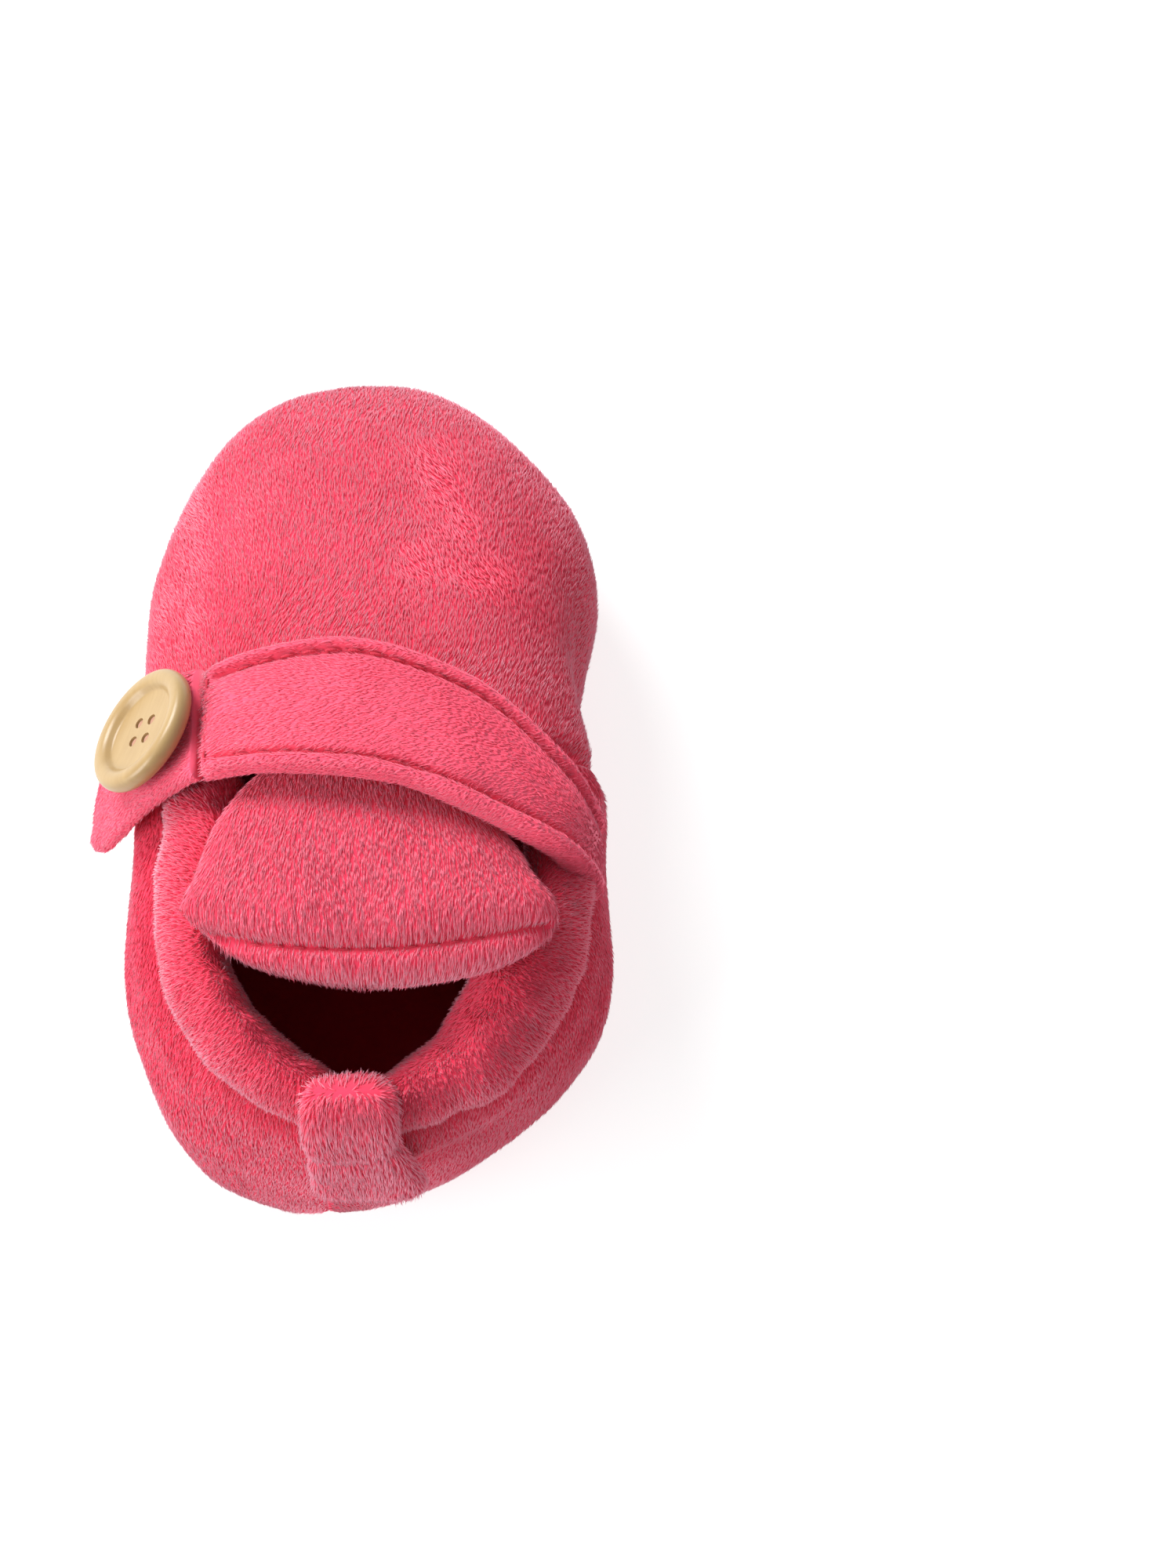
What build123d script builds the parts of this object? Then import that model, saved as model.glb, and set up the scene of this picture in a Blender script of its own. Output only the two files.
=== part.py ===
# Plush baby bootie for the left foot: padded textile layers, a closing strap with a
# decorative button, a padded tongue, a heel tab and a dotted grip sole.
# Millimetres, +Z up, toe towards +Y, big-toe side towards +X, the ground at z = 0.
from build123d import *
import math
import os

os.makedirs("parts", exist_ok=True)

# ---- driving sizes ----------------------------------------------------------
dot_height = 0.7          # how far the grip dots stand out of the sole cloth
dot_radius = 0.95
sole_cloth = 1.4          # thickness of the sole cloth
foam_top = 5.3            # top of the sole foam
insole_thickness = 1.4
plush = 1.6               # thickness of the outer plush with its pile
wadding = 1.8             # thickness of the soft filling in the walls
lining = 1.2              # thickness of the inner plush
gap = 0.12                # air between layers that are sewn, not glued
bluntness = 2.4           # 2 is an ellipse, larger is squarer

strap_half_width = 30.4   # half width of the arch the strap follows
strap_rise = 20.0         # height of that arch
strap_spring = 32.4       # height where the arch starts
strap_climb = 0.23        # the strap rises towards the heel by this much per mm
strap_station = -3.0      # the place along the foot where the arch sizes hold
strap_thickness = 4.5
tab_thickness = 3.0
seam_x = -20.0            # where the strap ends and the closing tab begins

button_radius = 9.2
button_thickness = 3.0
thread_radius = 0.28

# Horizontal rings of the upper, from the sole seam to the top:
# height, toe, heel, ball lateral, ball medial, heel lateral, heel medial, lean.
# The lean is -1 for a face that looks down and 1 for one that looks up.
RINGS = [
    (0.7, 53.5, -52.8, 30.0, 27.4, 19.8, 20.8, -1.0),
    (2.6, 56.5, -56.0, 30.8, 29.2, 23.8, 24.8, -0.6),
    (7.0, 58.7, -58.4, 31.0, 30.6, 28.0, 28.6, -0.3),
    (14.0, 59.2, -59.2, 31.0, 31.0, 31.2, 31.4, 0.0),
    (22.0, 57.8, -59.0, 30.4, 30.6, 32.3, 32.5, 0.1),
    (29.0, 53.4, -57.8, 29.0, 29.2, 31.6, 32.0, 0.35),
    (35.0, 44.5, -56.6, 26.6, 27.0, 30.0, 30.5, 0.55),
    (40.0, 31.5, -55.2, 24.3, 24.8, 28.0, 28.5, 0.75),
    (44.5, 18.5, -53.0, 21.6, 22.2, 25.5, 26.0, 0.85),
    (48.5, 6.0, -50.0, 18.0, 18.5, 22.0, 22.5, 0.95),
    (51.0, -5.0, -46.0, 12.5, 12.5, 16.0, 16.0, 1.0),
]


def ease(amount):
    """Smooth step from 0 to 1."""
    held = max(0.0, min(1.0, amount))
    return held * held * (3 - 2 * held)


def bell(distance, width):
    """Smooth bump that is 1 at no distance and fades over the width."""
    return math.exp(-((distance / width) ** 2))


def fullness(y, height, lateral):
    """How much wider than the plain ring the foot form is at this place."""
    low_share = 1 - ease((height - 24) / 14)
    if lateral:
        swell = 0.085 * bell(y - 36, 18) + 0.14 * bell(y + 40, 18)
    else:
        swell = 0.10 * bell(y - 36, 14) - 0.10 * bell(y - 9, 11) + 0.155 * bell(y + 40, 18)
    return 1 + low_share * swell


def sway(y, height):
    """Sideways set of the foot form: heel and toe point a little to the lateral side."""
    reach = 5.6 * ease((-34 - y) / 26) + 1.5 * ease((y - 36) / 22)
    return -reach * (1 - 0.8 * ease((height - 24) / 14))


def ring_points(ring, inset, count=24):
    """Points round one ring of the foot form, moved inwards by the inset."""
    height, toe, heel, ball_lat, ball_med, heel_lat, heel_med, lean = ring
    middle = (toe + heel) / 2
    half = (toe - heel) / 2 - inset
    places = []
    for step in range(count):
        angle = 2 * math.pi * step / count
        across = math.cos(angle)
        along = math.sin(angle)
        y = middle + half * math.copysign(abs(along) ** (2 / bluntness), along)
        share = ease((y + 45) / 85)
        if across < 0:
            width = heel_lat + (ball_lat - heel_lat) * share - inset
        else:
            width = heel_med + (ball_med - heel_med) * share - inset
        x = width * math.copysign(abs(across) ** (2 / bluntness), across)
        places.append((x * fullness(y, height, across < 0) + sway(y, height), y))
    return places


def foot_form(inset):
    """Solid that fills the upper up to a face lying this far inside the outer plush."""
    with BuildPart() as form:
        for ring in RINGS:
            lean = ring[7]
            sideways = inset * (1 - 0.4 * abs(lean))
            with BuildSketch(Plane.XY.offset(ring[0] - inset * lean)):
                with BuildLine():
                    Spline(*ring_points(ring, sideways), periodic=True)
                make_face()
        loft()
    return form.part


def sole_prism(inset, bottom, top):
    """Upright slab with the outline of the sole seam."""
    with BuildPart() as prism:
        with BuildSketch(Plane.XY.offset(bottom)):
            with BuildLine():
                Spline(*ring_points(RINGS[0], inset), periodic=True)
            make_face()
        extrude(amount=top - bottom)
    return prism.part


def side_slab(points, half_width=60.0):
    """Slab across the whole foot whose outline is given in the side view."""
    with BuildPart() as slab:
        with BuildSketch(Plane.YZ):
            with BuildLine():
                Polyline(*points, close=True)
            make_face()
        extrude(amount=half_width, both=True)
    return slab.part


# ---- nested faces of the upper ---------------------------------------------
face_outer = foot_form(0)
face_plush = foot_form(plush)
face_wadding_out = foot_form(plush + gap)
face_wadding_in = foot_form(plush + gap + wadding)
face_lining_out = foot_form(plush + 2 * gap + wadding)
cavity_side = plush + 2 * gap + wadding + lining
face_lining_in = foot_form(cavity_side)
face_quarter_in = foot_form(cavity_side - 0.03)     # the quarters have a slightly thinner lining

# Side-view zones. The vamp lies in front of a slanting seam, the quarters behind it.
vamp_zone = side_slab([(0.1, 0), (0.1, 14), (-3.4, 30), (-4.9, 60), (70, 60), (70, 0)])
quarter_zone = side_slab([(-0.1, 0), (-0.1, 14), (-3.6, 30), (-4.4, 38), (-70, 37.0), (-70, 0)])

with BuildPart() as throat:
    with BuildSketch(Plane.XY.offset(38)):
        with BuildLine():
            Polyline((-19.5, -12), (-19.0, -2.5), (-13, 0.9), (13, 0.9), (19.0, -2.5), (19.5, -12), close=True)
        make_face()
    extrude(amount=20)

# ---- padded roll round the opening -----------------------------------------
# Middle line of the roll: x, y, z, half width, half height of the section.
ROLL = [
    (-22.0, -10.0, 37.8, 2.4, 3.0),
    (-24.0, -17.0, 40.2, 3.0, 4.8),
    (-24.9, -27.0, 41.6, 3.2, 6.0),
    (-22.0, -39.0, 41.3, 3.3, 6.5),
    (-13.0, -49.6, 40.6, 3.3, 6.6),
    (0.0, -53.0, 40.2, 3.3, 6.6),
    (13.3, -49.2, 40.6, 3.6, 6.6),
    (21.8, -39.0, 41.2, 4.1, 6.4),
    (24.5, -27.0, 41.2, 3.9, 5.9),
    (24.5, -18.0, 39.6, 3.0, 4.7),
    (22.6, -11.0, 37.6, 2.4, 3.0),
]


def collar_roll(shrink, end_shrink):
    """Roll of oval section that follows the rim of the opening."""
    with BuildLine(mode=Mode.PRIVATE) as guide:
        Spline(*[(x, y, z) for x, y, z, wide, high in ROLL])
    path = guide.line.edge()
    with BuildPart() as roll:
        for index, (x, y, z, wide, high) in enumerate(ROLL):
            along = path.param_at_point((x, y, z))
            run = path.tangent_at(along)
            centre = Vector(x, y, z)
            if index == 0:
                centre = centre + run * end_shrink
            if index == len(ROLL) - 1:
                centre = centre - run * end_shrink
            outward = run.cross(Vector(0, 0, 1))
            with BuildSketch(Plane(origin=centre, x_dir=outward, z_dir=run)):
                Ellipse(wide - shrink, high - shrink)
        loft()
    return roll.part


with BuildPart() as collar_foam:
    add(collar_roll(1.45, 1.6))
collar_foam.part.label = "collar_foam"
export_step(collar_foam.part, "parts/collar_foam.step")

with BuildPart() as collar_cover:
    add(collar_roll(0, 0))
    add(collar_roll(1.33, 1.4), mode=Mode.SUBTRACT)
collar_cover.part.label = "collar_cover"
export_step(collar_cover.part, "parts/collar_cover.step")

roll_room = collar_roll(-0.15, -0.3)

# ---- sole ------------------------------------------------------------------
sole_bottom = dot_height
sole_top = sole_bottom + sole_cloth

with BuildPart() as outsole_fabric:
    add(sole_prism(0.5, sole_bottom, sole_top))
outsole_fabric.part.label = "outsole_fabric"
export_step(outsole_fabric.part, "parts/outsole_fabric.step")


def inside_sole(x, y, margin):
    """True when a dot at this place keeps clear of the sole seam."""
    height, toe, heel, ball_lat, ball_med, heel_lat, heel_med, lean = RINGS[0]
    share = ease((y + 45) / 85)
    if x < 0:
        width = heel_lat + (ball_lat - heel_lat) * share - margin
    else:
        width = heel_med + (ball_med - heel_med) * share - margin
    half = (toe - heel) / 2 - margin
    across = abs(x - sway(y, height)) / (width * fullness(y, height, x < 0))
    along = abs(y - (toe + heel) / 2) / half
    return across ** bluntness + along ** bluntness < 1


# The dots stand in a slightly turned staggered pattern.
dot_places = []
for row in range(-17, 18):
    for column in range(-17, 18):
        dot_x = 4.06 * column + 2.82 * row
        dot_y = -1.23 * column + 3.34 * row
        if inside_sole(dot_x, dot_y, 2.2):
            dot_places.append((dot_x, dot_y))

with BuildPart() as one_dot:
    with BuildSketch(Plane.XZ):
        with BuildLine():
            Line((0, 0), (0.55, 0))
            ThreePointArc((0.55, 0), (0.82, 0.22), (dot_radius, dot_height - 0.02))
            Line((dot_radius, dot_height - 0.02), (0, dot_height - 0.02))
            Line((0, dot_height - 0.02), (0, 0))
        make_face()
    revolve(axis=Axis.Z)

with BuildPart() as grip_dots:
    with Locations(*dot_places):
        add(one_dot.part)
grip_dots.part.label = "grip_dots"
export_step(grip_dots.part, "parts/grip_dots.step")

with BuildPart() as sole_foam:
    add(face_wadding_out)
    add(side_slab([(-80, 2.45), (80, 2.45), (80, foam_top), (-80, foam_top)]), mode=Mode.INTERSECT)
sole_foam.part.label = "sole_foam"
export_step(sole_foam.part, "parts/sole_foam.step")

insole_bottom = foam_top + gap
insole_top = insole_bottom + insole_thickness
with BuildPart() as insole:
    add(foot_form(cavity_side + gap))
    add(
        side_slab([(-80, insole_bottom), (80, insole_bottom), (80, insole_top), (-80, insole_top)]),
        mode=Mode.INTERSECT,
    )
insole.part.label = "insole"
export_step(insole.part, "parts/insole.step")

# ---- walls of the upper ----------------------------------------------------
def wall(outside, inside, zone, trims):
    """One layer of the wall in one zone, as its largest connected piece."""
    with BuildPart() as layer:
        add(outside)
        add(zone, mode=Mode.INTERSECT)
        add(inside, mode=Mode.SUBTRACT)
        for trim in trims:
            add(trim, mode=Mode.SUBTRACT)
    return layer.part.solids().sort_by(SortBy.VOLUME)[-1]


with BuildPart() as outer_body:
    add(face_outer)
    add(sole_prism(0.45, 0, 2.6), mode=Mode.SUBTRACT)
foam_room = side_slab([(-80, -2), (80, -2), (80, foam_top + gap), (-80, foam_top + gap)])

with BuildPart() as vamp_outer:
    add(wall(outer_body.part, face_plush, vamp_zone, [throat.part, roll_room]))
vamp_outer.part.label = "vamp_outer"
export_step(vamp_outer.part, "parts/vamp_outer.step")

with BuildPart() as vamp_wadding:
    add(wall(face_wadding_out, face_wadding_in, vamp_zone, [foam_room, throat.part, roll_room]))
vamp_wadding.part.label = "vamp_wadding"
export_step(vamp_wadding.part, "parts/vamp_wadding.step")

with BuildPart() as vamp_lining:
    add(wall(face_lining_out, face_lining_in, vamp_zone, [foam_room, throat.part, roll_room]))
vamp_lining.part.label = "vamp_lining"
export_step(vamp_lining.part, "parts/vamp_lining.step")

with BuildPart() as quarter_lateral:
    add(wall(outer_body.part, face_plush, quarter_zone, [roll_room]))
    split(bisect_by=Plane.YZ.offset(-0.06), keep=Keep.BOTTOM)
quarter_lateral.part.label = "quarter_lateral"
export_step(quarter_lateral.part, "parts/quarter_lateral.step")

with BuildPart() as quarter_medial:
    add(wall(outer_body.part, face_plush, quarter_zone, [roll_room]))
    split(bisect_by=Plane.YZ.offset(0.06), keep=Keep.TOP)
quarter_medial.part.label = "quarter_medial"
export_step(quarter_medial.part, "parts/quarter_medial.step")

with BuildPart() as quarter_wadding:
    add(wall(face_wadding_out, face_wadding_in, quarter_zone, [foam_room, roll_room]))
quarter_wadding.part.label = "quarter_wadding"
export_step(quarter_wadding.part, "parts/quarter_wadding.step")

with BuildPart() as quarter_lining:
    add(wall(face_lining_out, face_quarter_in, quarter_zone, [foam_room, roll_room]))
quarter_lining.part.label = "quarter_lining"
export_step(quarter_lining.part, "parts/quarter_lining.step")

# ---- tongue ----------------------------------------------------------------
tongue_root = (-3.0, 45.0)        # centre of the rounded front edge, where the tongue bends
tongue_radius = 3.2               # half thickness
TONGUE_MIDDLE = [tongue_root, (-12.0, 47.3), (-20.0, 49.4), (-30.0, 52.2), (-36.0, 52.2), (-41.5, 50.6)]


def tongue_pad(shrink):
    """Padded tongue: a curved pad of even thickness with a rounded outline."""
    with BuildPart() as pad:
        with BuildSketch(Plane.YZ):
            with BuildLine():
                spine = Spline(*TONGUE_MIDDLE)
            trace(line_width=2 * (tongue_radius - shrink))
        extrude(amount=40, both=True)
        with BuildSketch(Plane.XY.offset(30), mode=Mode.PRIVATE) as plan:
            with BuildLine():
                Spline(
                    (-11.5 + shrink, 3.0),
                    (-12.4 + shrink, -8.0),
                    (-13.4 + shrink, -13.5),
                    (-18.6 + shrink, -22.0),
                    (-21.6 + shrink, -31.0),
                    (-18.5 + shrink, -36.8 + shrink),
                    (-10.0, -39.8 + shrink),
                    (2.0, -40.6 + shrink),
                    (14.0, -39.2 + shrink),
                    (21.0 - shrink, -36.0 + shrink),
                    (23.4 - shrink, -31.0),
                    (19.0 - shrink, -22.0),
                    (13.4 - shrink, -13.5),
                    (12.4 - shrink, -8.0),
                    (11.5 - shrink, 3.0),
                )
                Line((11.5 - shrink, 3.0), (-11.5 + shrink, 3.0))
            make_face()
        extrude(plan.sketch, amount=40, mode=Mode.INTERSECT)
    return pad.part


with BuildPart() as tongue_wadding:
    add(tongue_pad(1.3))
tongue_wadding.part.label = "tongue_wadding"
export_step(tongue_wadding.part, "parts/tongue_wadding.step")

with BuildPart() as tongue_skin:
    add(tongue_pad(0))
    add(tongue_pad(1.2), mode=Mode.SUBTRACT)


def under_tongue(shift):
    """Slab below the middle surface of the tongue, moved up by the shift."""
    lower_edge = [(y, z + shift) for y, z in TONGUE_MIDDLE]
    with BuildPart() as slab:
        with BuildSketch(Plane.YZ):
            with BuildLine():
                Line((8, 20), (8, 44 + shift))
                Line((8, 44 + shift), lower_edge[0])
                Spline(*lower_edge)
                Line(lower_edge[-1], (-50, 49 + shift))
                Line((-50, 49 + shift), (-50, 20))
                Line((-50, 20), (8, 20))
            make_face()
        extrude(amount=40, both=True)
    return slab.part


with BuildPart() as tongue_outer:
    add(tongue_skin.part)
    add(under_tongue(0.06), mode=Mode.SUBTRACT)
tongue_outer.part.label = "tongue_outer"
export_step(tongue_outer.part, "parts/tongue_outer.step")

with BuildPart() as tongue_lining:
    add(tongue_skin.part)
    add(under_tongue(-0.06), mode=Mode.INTERSECT)
tongue_lining.part.label = "tongue_lining"
export_step(tongue_lining.part, "parts/tongue_lining.step")

# ---- strap -----------------------------------------------------------------
def arch_point(angle, lift):
    """Point of the strap arch, seen from the heel, this far outside its inner face."""
    x = strap_half_width * math.sin(angle)
    z = strap_spring + strap_rise * math.cos(angle)
    slope_x = strap_rise * math.sin(angle)
    slope_z = strap_half_width * math.cos(angle)
    size = math.hypot(slope_x, slope_z)
    return (x + lift * slope_x / size, z + lift * slope_z / size)


seam_angle = math.asin(seam_x / strap_half_width)
root_angle = math.radians(84.0)


def tab_point(share, lift):
    """Point of the closing tab, seen from the heel, this far outside its inner face."""
    start = arch_point(seam_angle, strap_thickness - tab_thickness)
    bend = (start[0] - 8.6, start[1] - 6.9)
    tip = (start[0] - 15.1, start[1] - 24.2)
    x = start[0] * (1 - share) ** 2 + 2 * bend[0] * share * (1 - share) + tip[0] * share ** 2
    z = start[1] * (1 - share) ** 2 + 2 * bend[1] * share * (1 - share) + tip[1] * share ** 2
    run_x = (bend[0] - start[0]) * (1 - share) + (tip[0] - bend[0]) * share
    run_z = (bend[1] - start[1]) * (1 - share) + (tip[1] - bend[1]) * share
    size = math.hypot(run_x, run_z)
    return (x + lift * run_z / size, z - lift * run_x / size)


climb = Vector(0, -1, strap_climb).normalized()
band_front = 14.0
band_drop = strap_climb * (strap_station - band_front)


def band(point_rule, first, last, low, high, margin_first=0.0, margin_last=0.0):
    """Curved band between two depths of the strap or tab, running along the foot."""
    begin = first + margin_first
    finish = last - margin_last
    steps = 6
    inner = []
    outer = []
    for step in range(steps + 1):
        place = begin + (finish - begin) * step / steps
        x_in, z_in = point_rule(place, low)
        x_out, z_out = point_rule(place, high)
        inner.append((x_in, z_in + band_drop))
        outer.append((x_out, z_out + band_drop))
    with BuildPart() as strip:
        with BuildSketch(Plane.XZ.offset(-band_front)):
            with BuildLine():
                Spline(*inner)
                Line(inner[-1], outer[-1])
                Spline(*outer)
                Line(outer[0], inner[0])
            make_face()
        extrude(amount=45, dir=climb)
    return strip.part


def strap_plan(shrink):
    """Outline of the strap in plan, as an upright prism."""
    with BuildPart() as prism:
        with BuildSketch():
            with BuildLine():
                Spline(
                    (-30.0, 2.6 - shrink),
                    (-22.0, 4.6 - shrink),
                    (-12.0, 7.2 - shrink),
                    (-2.0, 8.0 - shrink),
                    (8.0, 5.2 - shrink),
                    (17.0, 0.6 - shrink),
                    (27.0, -8.2 - shrink),
                    (38.0, -14.5 - shrink),
                )
                Line((38.0, -14.5 - shrink), (38.0, -26.0 + shrink))
                Spline(
                    (38.0, -26.0 + shrink),
                    (27.0, -22.4 + shrink),
                    (16.0, -18.2 + shrink),
                    (5.0, -14.2 + shrink),
                    (-8.0, -12.3 + shrink),
                    (-22.0, -11.8 + shrink),
                    (-30.0, -12.4 + shrink),
                )
                Line((-30.0, -12.4 + shrink), (-30.0, 2.6 - shrink))
            make_face()
        extrude(amount=80)
    return prism.part


def tab_plan(shrink):
    """Outline of the closing tab in plan, as an upright prism."""
    with BuildPart() as prism:
        with BuildSketch():
            with BuildLine():
                Line((-10.0, -12.2 + shrink), (-10.0, 5.6 - shrink))
                Line((-10.0, 5.6 - shrink), (-22.0, 5.6 - shrink))
                Spline(
                    (-22.0, 5.6 - shrink),
                    (-30.0, 5.8 - shrink),
                    (-36.0 + shrink, 0.5),
                    (-38.6 + shrink, -9.0),
                    (-37.0 + shrink, -14.6 + shrink),
                    (-31.0, -16.2 + shrink),
                    (-22.0, -12.3 + shrink),
                )
                Line((-22.0, -12.3 + shrink), (-10.0, -12.2 + shrink))
            make_face()
        extrude(amount=80)
    return prism.part


strap_layers = [
    ("strap_backing", 0.0, 1.0, 0.0),
    ("strap_wadding", 1.1, 2.9, 0.5),
    ("strap_outer", 3.0, strap_thickness, 0.0),
]
seam_margin = 0.008
for layer_name, low, high, shrink in strap_layers:
    with BuildPart() as strap_layer:
        add(band(arch_point, seam_angle, root_angle, low, high, seam_margin, 0.0))
        add(strap_plan(shrink), mode=Mode.INTERSECT)
    strap_layer.part.label = layer_name
    export_step(strap_layer.part, f"parts/{layer_name}.step")

tab_layers = [
    ("tab_backing", 0.0, 1.0),
    ("tab_outer", 1.1, tab_thickness),
]
for layer_name, low, high in tab_layers:
    with BuildPart() as tab_layer:
        add(band(tab_point, 0.0, 1.0, low, high, seam_margin, 0.0))
        add(tab_plan(0), mode=Mode.INTERSECT)
    tab_layer.part.label = layer_name
    export_step(tab_layer.part, f"parts/{layer_name}.step")

# Hooks under the tab and loops on the side of the shoe.
with BuildPart() as hook_patch:
    add(band(tab_point, 0.0, 1.0, -0.8, -0.05, 0.26, 0.42))
    with BuildSketch():
        with Locations((-28, -0.65)):
            RectangleRounded(30, 9, 2.0)
    extrude(amount=80, mode=Mode.INTERSECT)
hook_patch.part.label = "hook_patch"
export_step(hook_patch.part, "parts/hook_patch.step")

with BuildPart() as loop_patch:
    add(foot_form(-0.75))
    add(foot_form(-0.1), mode=Mode.SUBTRACT)
    with BuildSketch(Plane.YZ.offset(-40)):
        with Locations((-0.65, 37.5)):
            RectangleRounded(9, 9, 2.0)
    extrude(amount=30, mode=Mode.INTERSECT)
loop_patch.part.label = "loop_patch"
export_step(loop_patch.part, "parts/loop_patch.step")

# ---- button ----------------------------------------------------------------
button_share = 0.3
button_y = -2.6
button_shift = strap_climb * (strap_station - button_y)
seat_x, seat_z = tab_point(button_share, tab_thickness + 0.15)
ahead_x, ahead_z = tab_point(button_share, tab_thickness + 1.15)
button_axis = Vector(ahead_x - seat_x, strap_climb * (ahead_z - seat_z), ahead_z - seat_z).normalized()
button_seat = Vector(seat_x, button_y, seat_z + button_shift)
button_plane = Plane(origin=button_seat, x_dir=(0, 1, 0), z_dir=button_axis)
hole_spacing = 1.75

with BuildPart() as button_blank:
    with BuildSketch(Plane.XZ):
        with BuildLine():
            Line((0, 0), (button_radius - 1.2, 0))
            ThreePointArc(
                (button_radius - 1.2, 0),
                (button_radius - 0.15, 0.6),
                (button_radius, 1.6),
            )
            ThreePointArc(
                (button_radius, 1.6),
                (button_radius - 0.55, button_thickness - 0.3),
                (button_radius - 1.5, button_thickness),
            )
            Spline(
                (button_radius - 1.5, button_thickness),
                (button_radius - 2.6, button_thickness - 0.5),
                (button_radius - 3.3, button_thickness - 1.0),
                (0, button_thickness - 1.35),
            )
            Line((0, button_thickness - 1.35), (0, 0))
        make_face()
    revolve(axis=Axis.Z)
    with GridLocations(2 * hole_spacing * 0.72, 2 * hole_spacing * 0.72, 2, 2):
        Cylinder(0.72, 12, mode=Mode.SUBTRACT)

with BuildPart() as button:
    add(button_plane * button_blank.part)
button.part.label = "button"
export_step(button.part, "parts/button.step")

# Two loops of thread, each down one hole and up its neighbour.
leg = hole_spacing * 0.72
with BuildPart() as thread_blank:
    for row_y in (-leg, leg):
        with BuildSketch(Plane.XY.offset(-0.05)):
            with Locations((-leg, row_y), (leg, row_y)):
                Circle(thread_radius)
        extrude(amount=button_thickness - 0.6)
        with Locations(Location((0, row_y, button_thickness - 0.95), (0, 90, 0))):
            Cylinder(thread_radius, 2 * leg)

with BuildPart() as button_thread:
    add(button_plane * thread_blank.part)
button_thread.part.label = "button_thread"
export_step(button_thread.part, "parts/button_thread.step")

# ---- heel tab --------------------------------------------------------------
with BuildPart() as heel_tab:
    with BuildSketch(Plane.YZ):
        with BuildLine():
            Spline((-54.6, 49.0), (-57.6, 44.5), (-59.4, 36.0), (-60.2, 26.0))
            Line((-60.2, 26.0), (-63.8, 25.6))
            Spline((-63.8, 25.6), (-62.8, 37.0), (-60.4, 46.0), (-56.0, 51.8))
            Line((-56.0, 51.8), (-54.6, 49.0))
        make_face()
    extrude(amount=10, both=True)
    with BuildSketch(Plane.XZ.offset(45), mode=Mode.PRIVATE) as tab_front:
        with BuildLine():
            Spline((-4.8, 56.0), (-5.2, 46.0), (-7.4, 34.0), (-6.8, 27.4), (0.0, 25.8))
            Spline((0.0, 25.8), (6.8, 27.4), (7.4, 34.0), (5.2, 46.0), (4.8, 56.0))
            Line((4.8, 56.0), (-4.8, 56.0))
        make_face()
    extrude(tab_front.sketch, amount=25, mode=Mode.INTERSECT)
heel_tab.part.label = "heel_tab"
export_step(heel_tab.part, "parts/heel_tab.step")

# ---- stitching -------------------------------------------------------------
stitch_radius = 0.25
stitch_length = 2.2


def stitch(centre, run, length=stitch_length):
    """One visible stitch, a short round bar."""
    with BuildPart() as bar:
        with BuildSketch(Plane(origin=centre - run * (length / 2), z_dir=run)):
            Circle(stitch_radius)
        extrude(amount=length)
    return bar.part


def strap_surface(angle, y, lift):
    """Point on the outer face of the strap."""
    x, z = arch_point(angle, strap_thickness + lift)
    return Vector(x, y, z + strap_climb * (strap_station - y))


front_seam = [(-18.0, 3.2), (-9.0, 5.3), (0.0, 5.2), (8.0, 2.6), (16.0, -1.5), (24.5, -8.8)]
rear_seam = [(-18.0, -9.5), (-8.0, -9.9), (4.0, -11.6), (14.0, -14.8), (24.5, -19.0)]

with BuildPart() as strap_topstitch:
    for seam in (front_seam, rear_seam):
        with BuildLine(mode=Mode.PRIVATE) as seam_line:
            Spline(*seam)
        run_line = seam_line.line.edge()
        count = int(run_line.length / 3.0)
        for number in range(count):
            flat = run_line @ ((number + 0.5) / count)
            beyond = run_line @ ((number + 0.6) / count)
            angle = math.asin(flat.X / (strap_half_width + strap_thickness))
            angle_beyond = math.asin(beyond.X / (strap_half_width + strap_thickness))
            spot = strap_surface(angle, flat.Y, 0.4)
            spot_beyond = strap_surface(angle_beyond, beyond.Y, 0.4)
            add(stitch(spot, (spot_beyond - spot).normalized(), 1.9))
strap_topstitch.part.label = "strap_topstitch"
export_step(strap_topstitch.part, "parts/strap_topstitch.step")

with BuildPart() as tab_seam_stitch:
    for number in range(5):
        y = -9.2 + 2.9 * number
        spot = strap_surface(seam_angle + 0.05, y, 0.35)
        add(stitch(spot, Vector(0, 1, -strap_climb).normalized()))
tab_seam_stitch.part.label = "tab_seam_stitch"
export_step(tab_seam_stitch.part, "parts/tab_seam_stitch.step")


def ring_stitches(ring, clear, spacing, wanted):
    """Stitches round one ring of the upper where the rule says they are wanted."""
    with BuildLine(Plane.XY.offset(ring[0]), mode=Mode.PRIVATE) as round_line:
        Spline(*ring_points(ring, -clear), periodic=True)
    loop = round_line.line.edge()
    count = int(loop.length / spacing)
    bars = []
    for number in range(count):
        spot = loop @ (number / count)
        if wanted(spot):
            bars.append(stitch(spot, loop % (number / count)))
    return bars


with BuildPart() as collar_stitch:
    for bar in ring_stitches(RINGS[6], 0.4, 3.3, lambda spot: spot.Y < -18.5 and abs(spot.X) > 9):
        add(bar)
collar_stitch.part.label = "collar_stitch"
export_step(collar_stitch.part, "parts/collar_stitch.step")

with BuildPart() as sole_seam_stitch:
    for bar in ring_stitches(RINGS[1], 0.55, 3.6, lambda spot: True):
        add(bar)
sole_seam_stitch.part.label = "sole_seam_stitch"
export_step(sole_seam_stitch.part, "parts/sole_seam_stitch.step")

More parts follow.
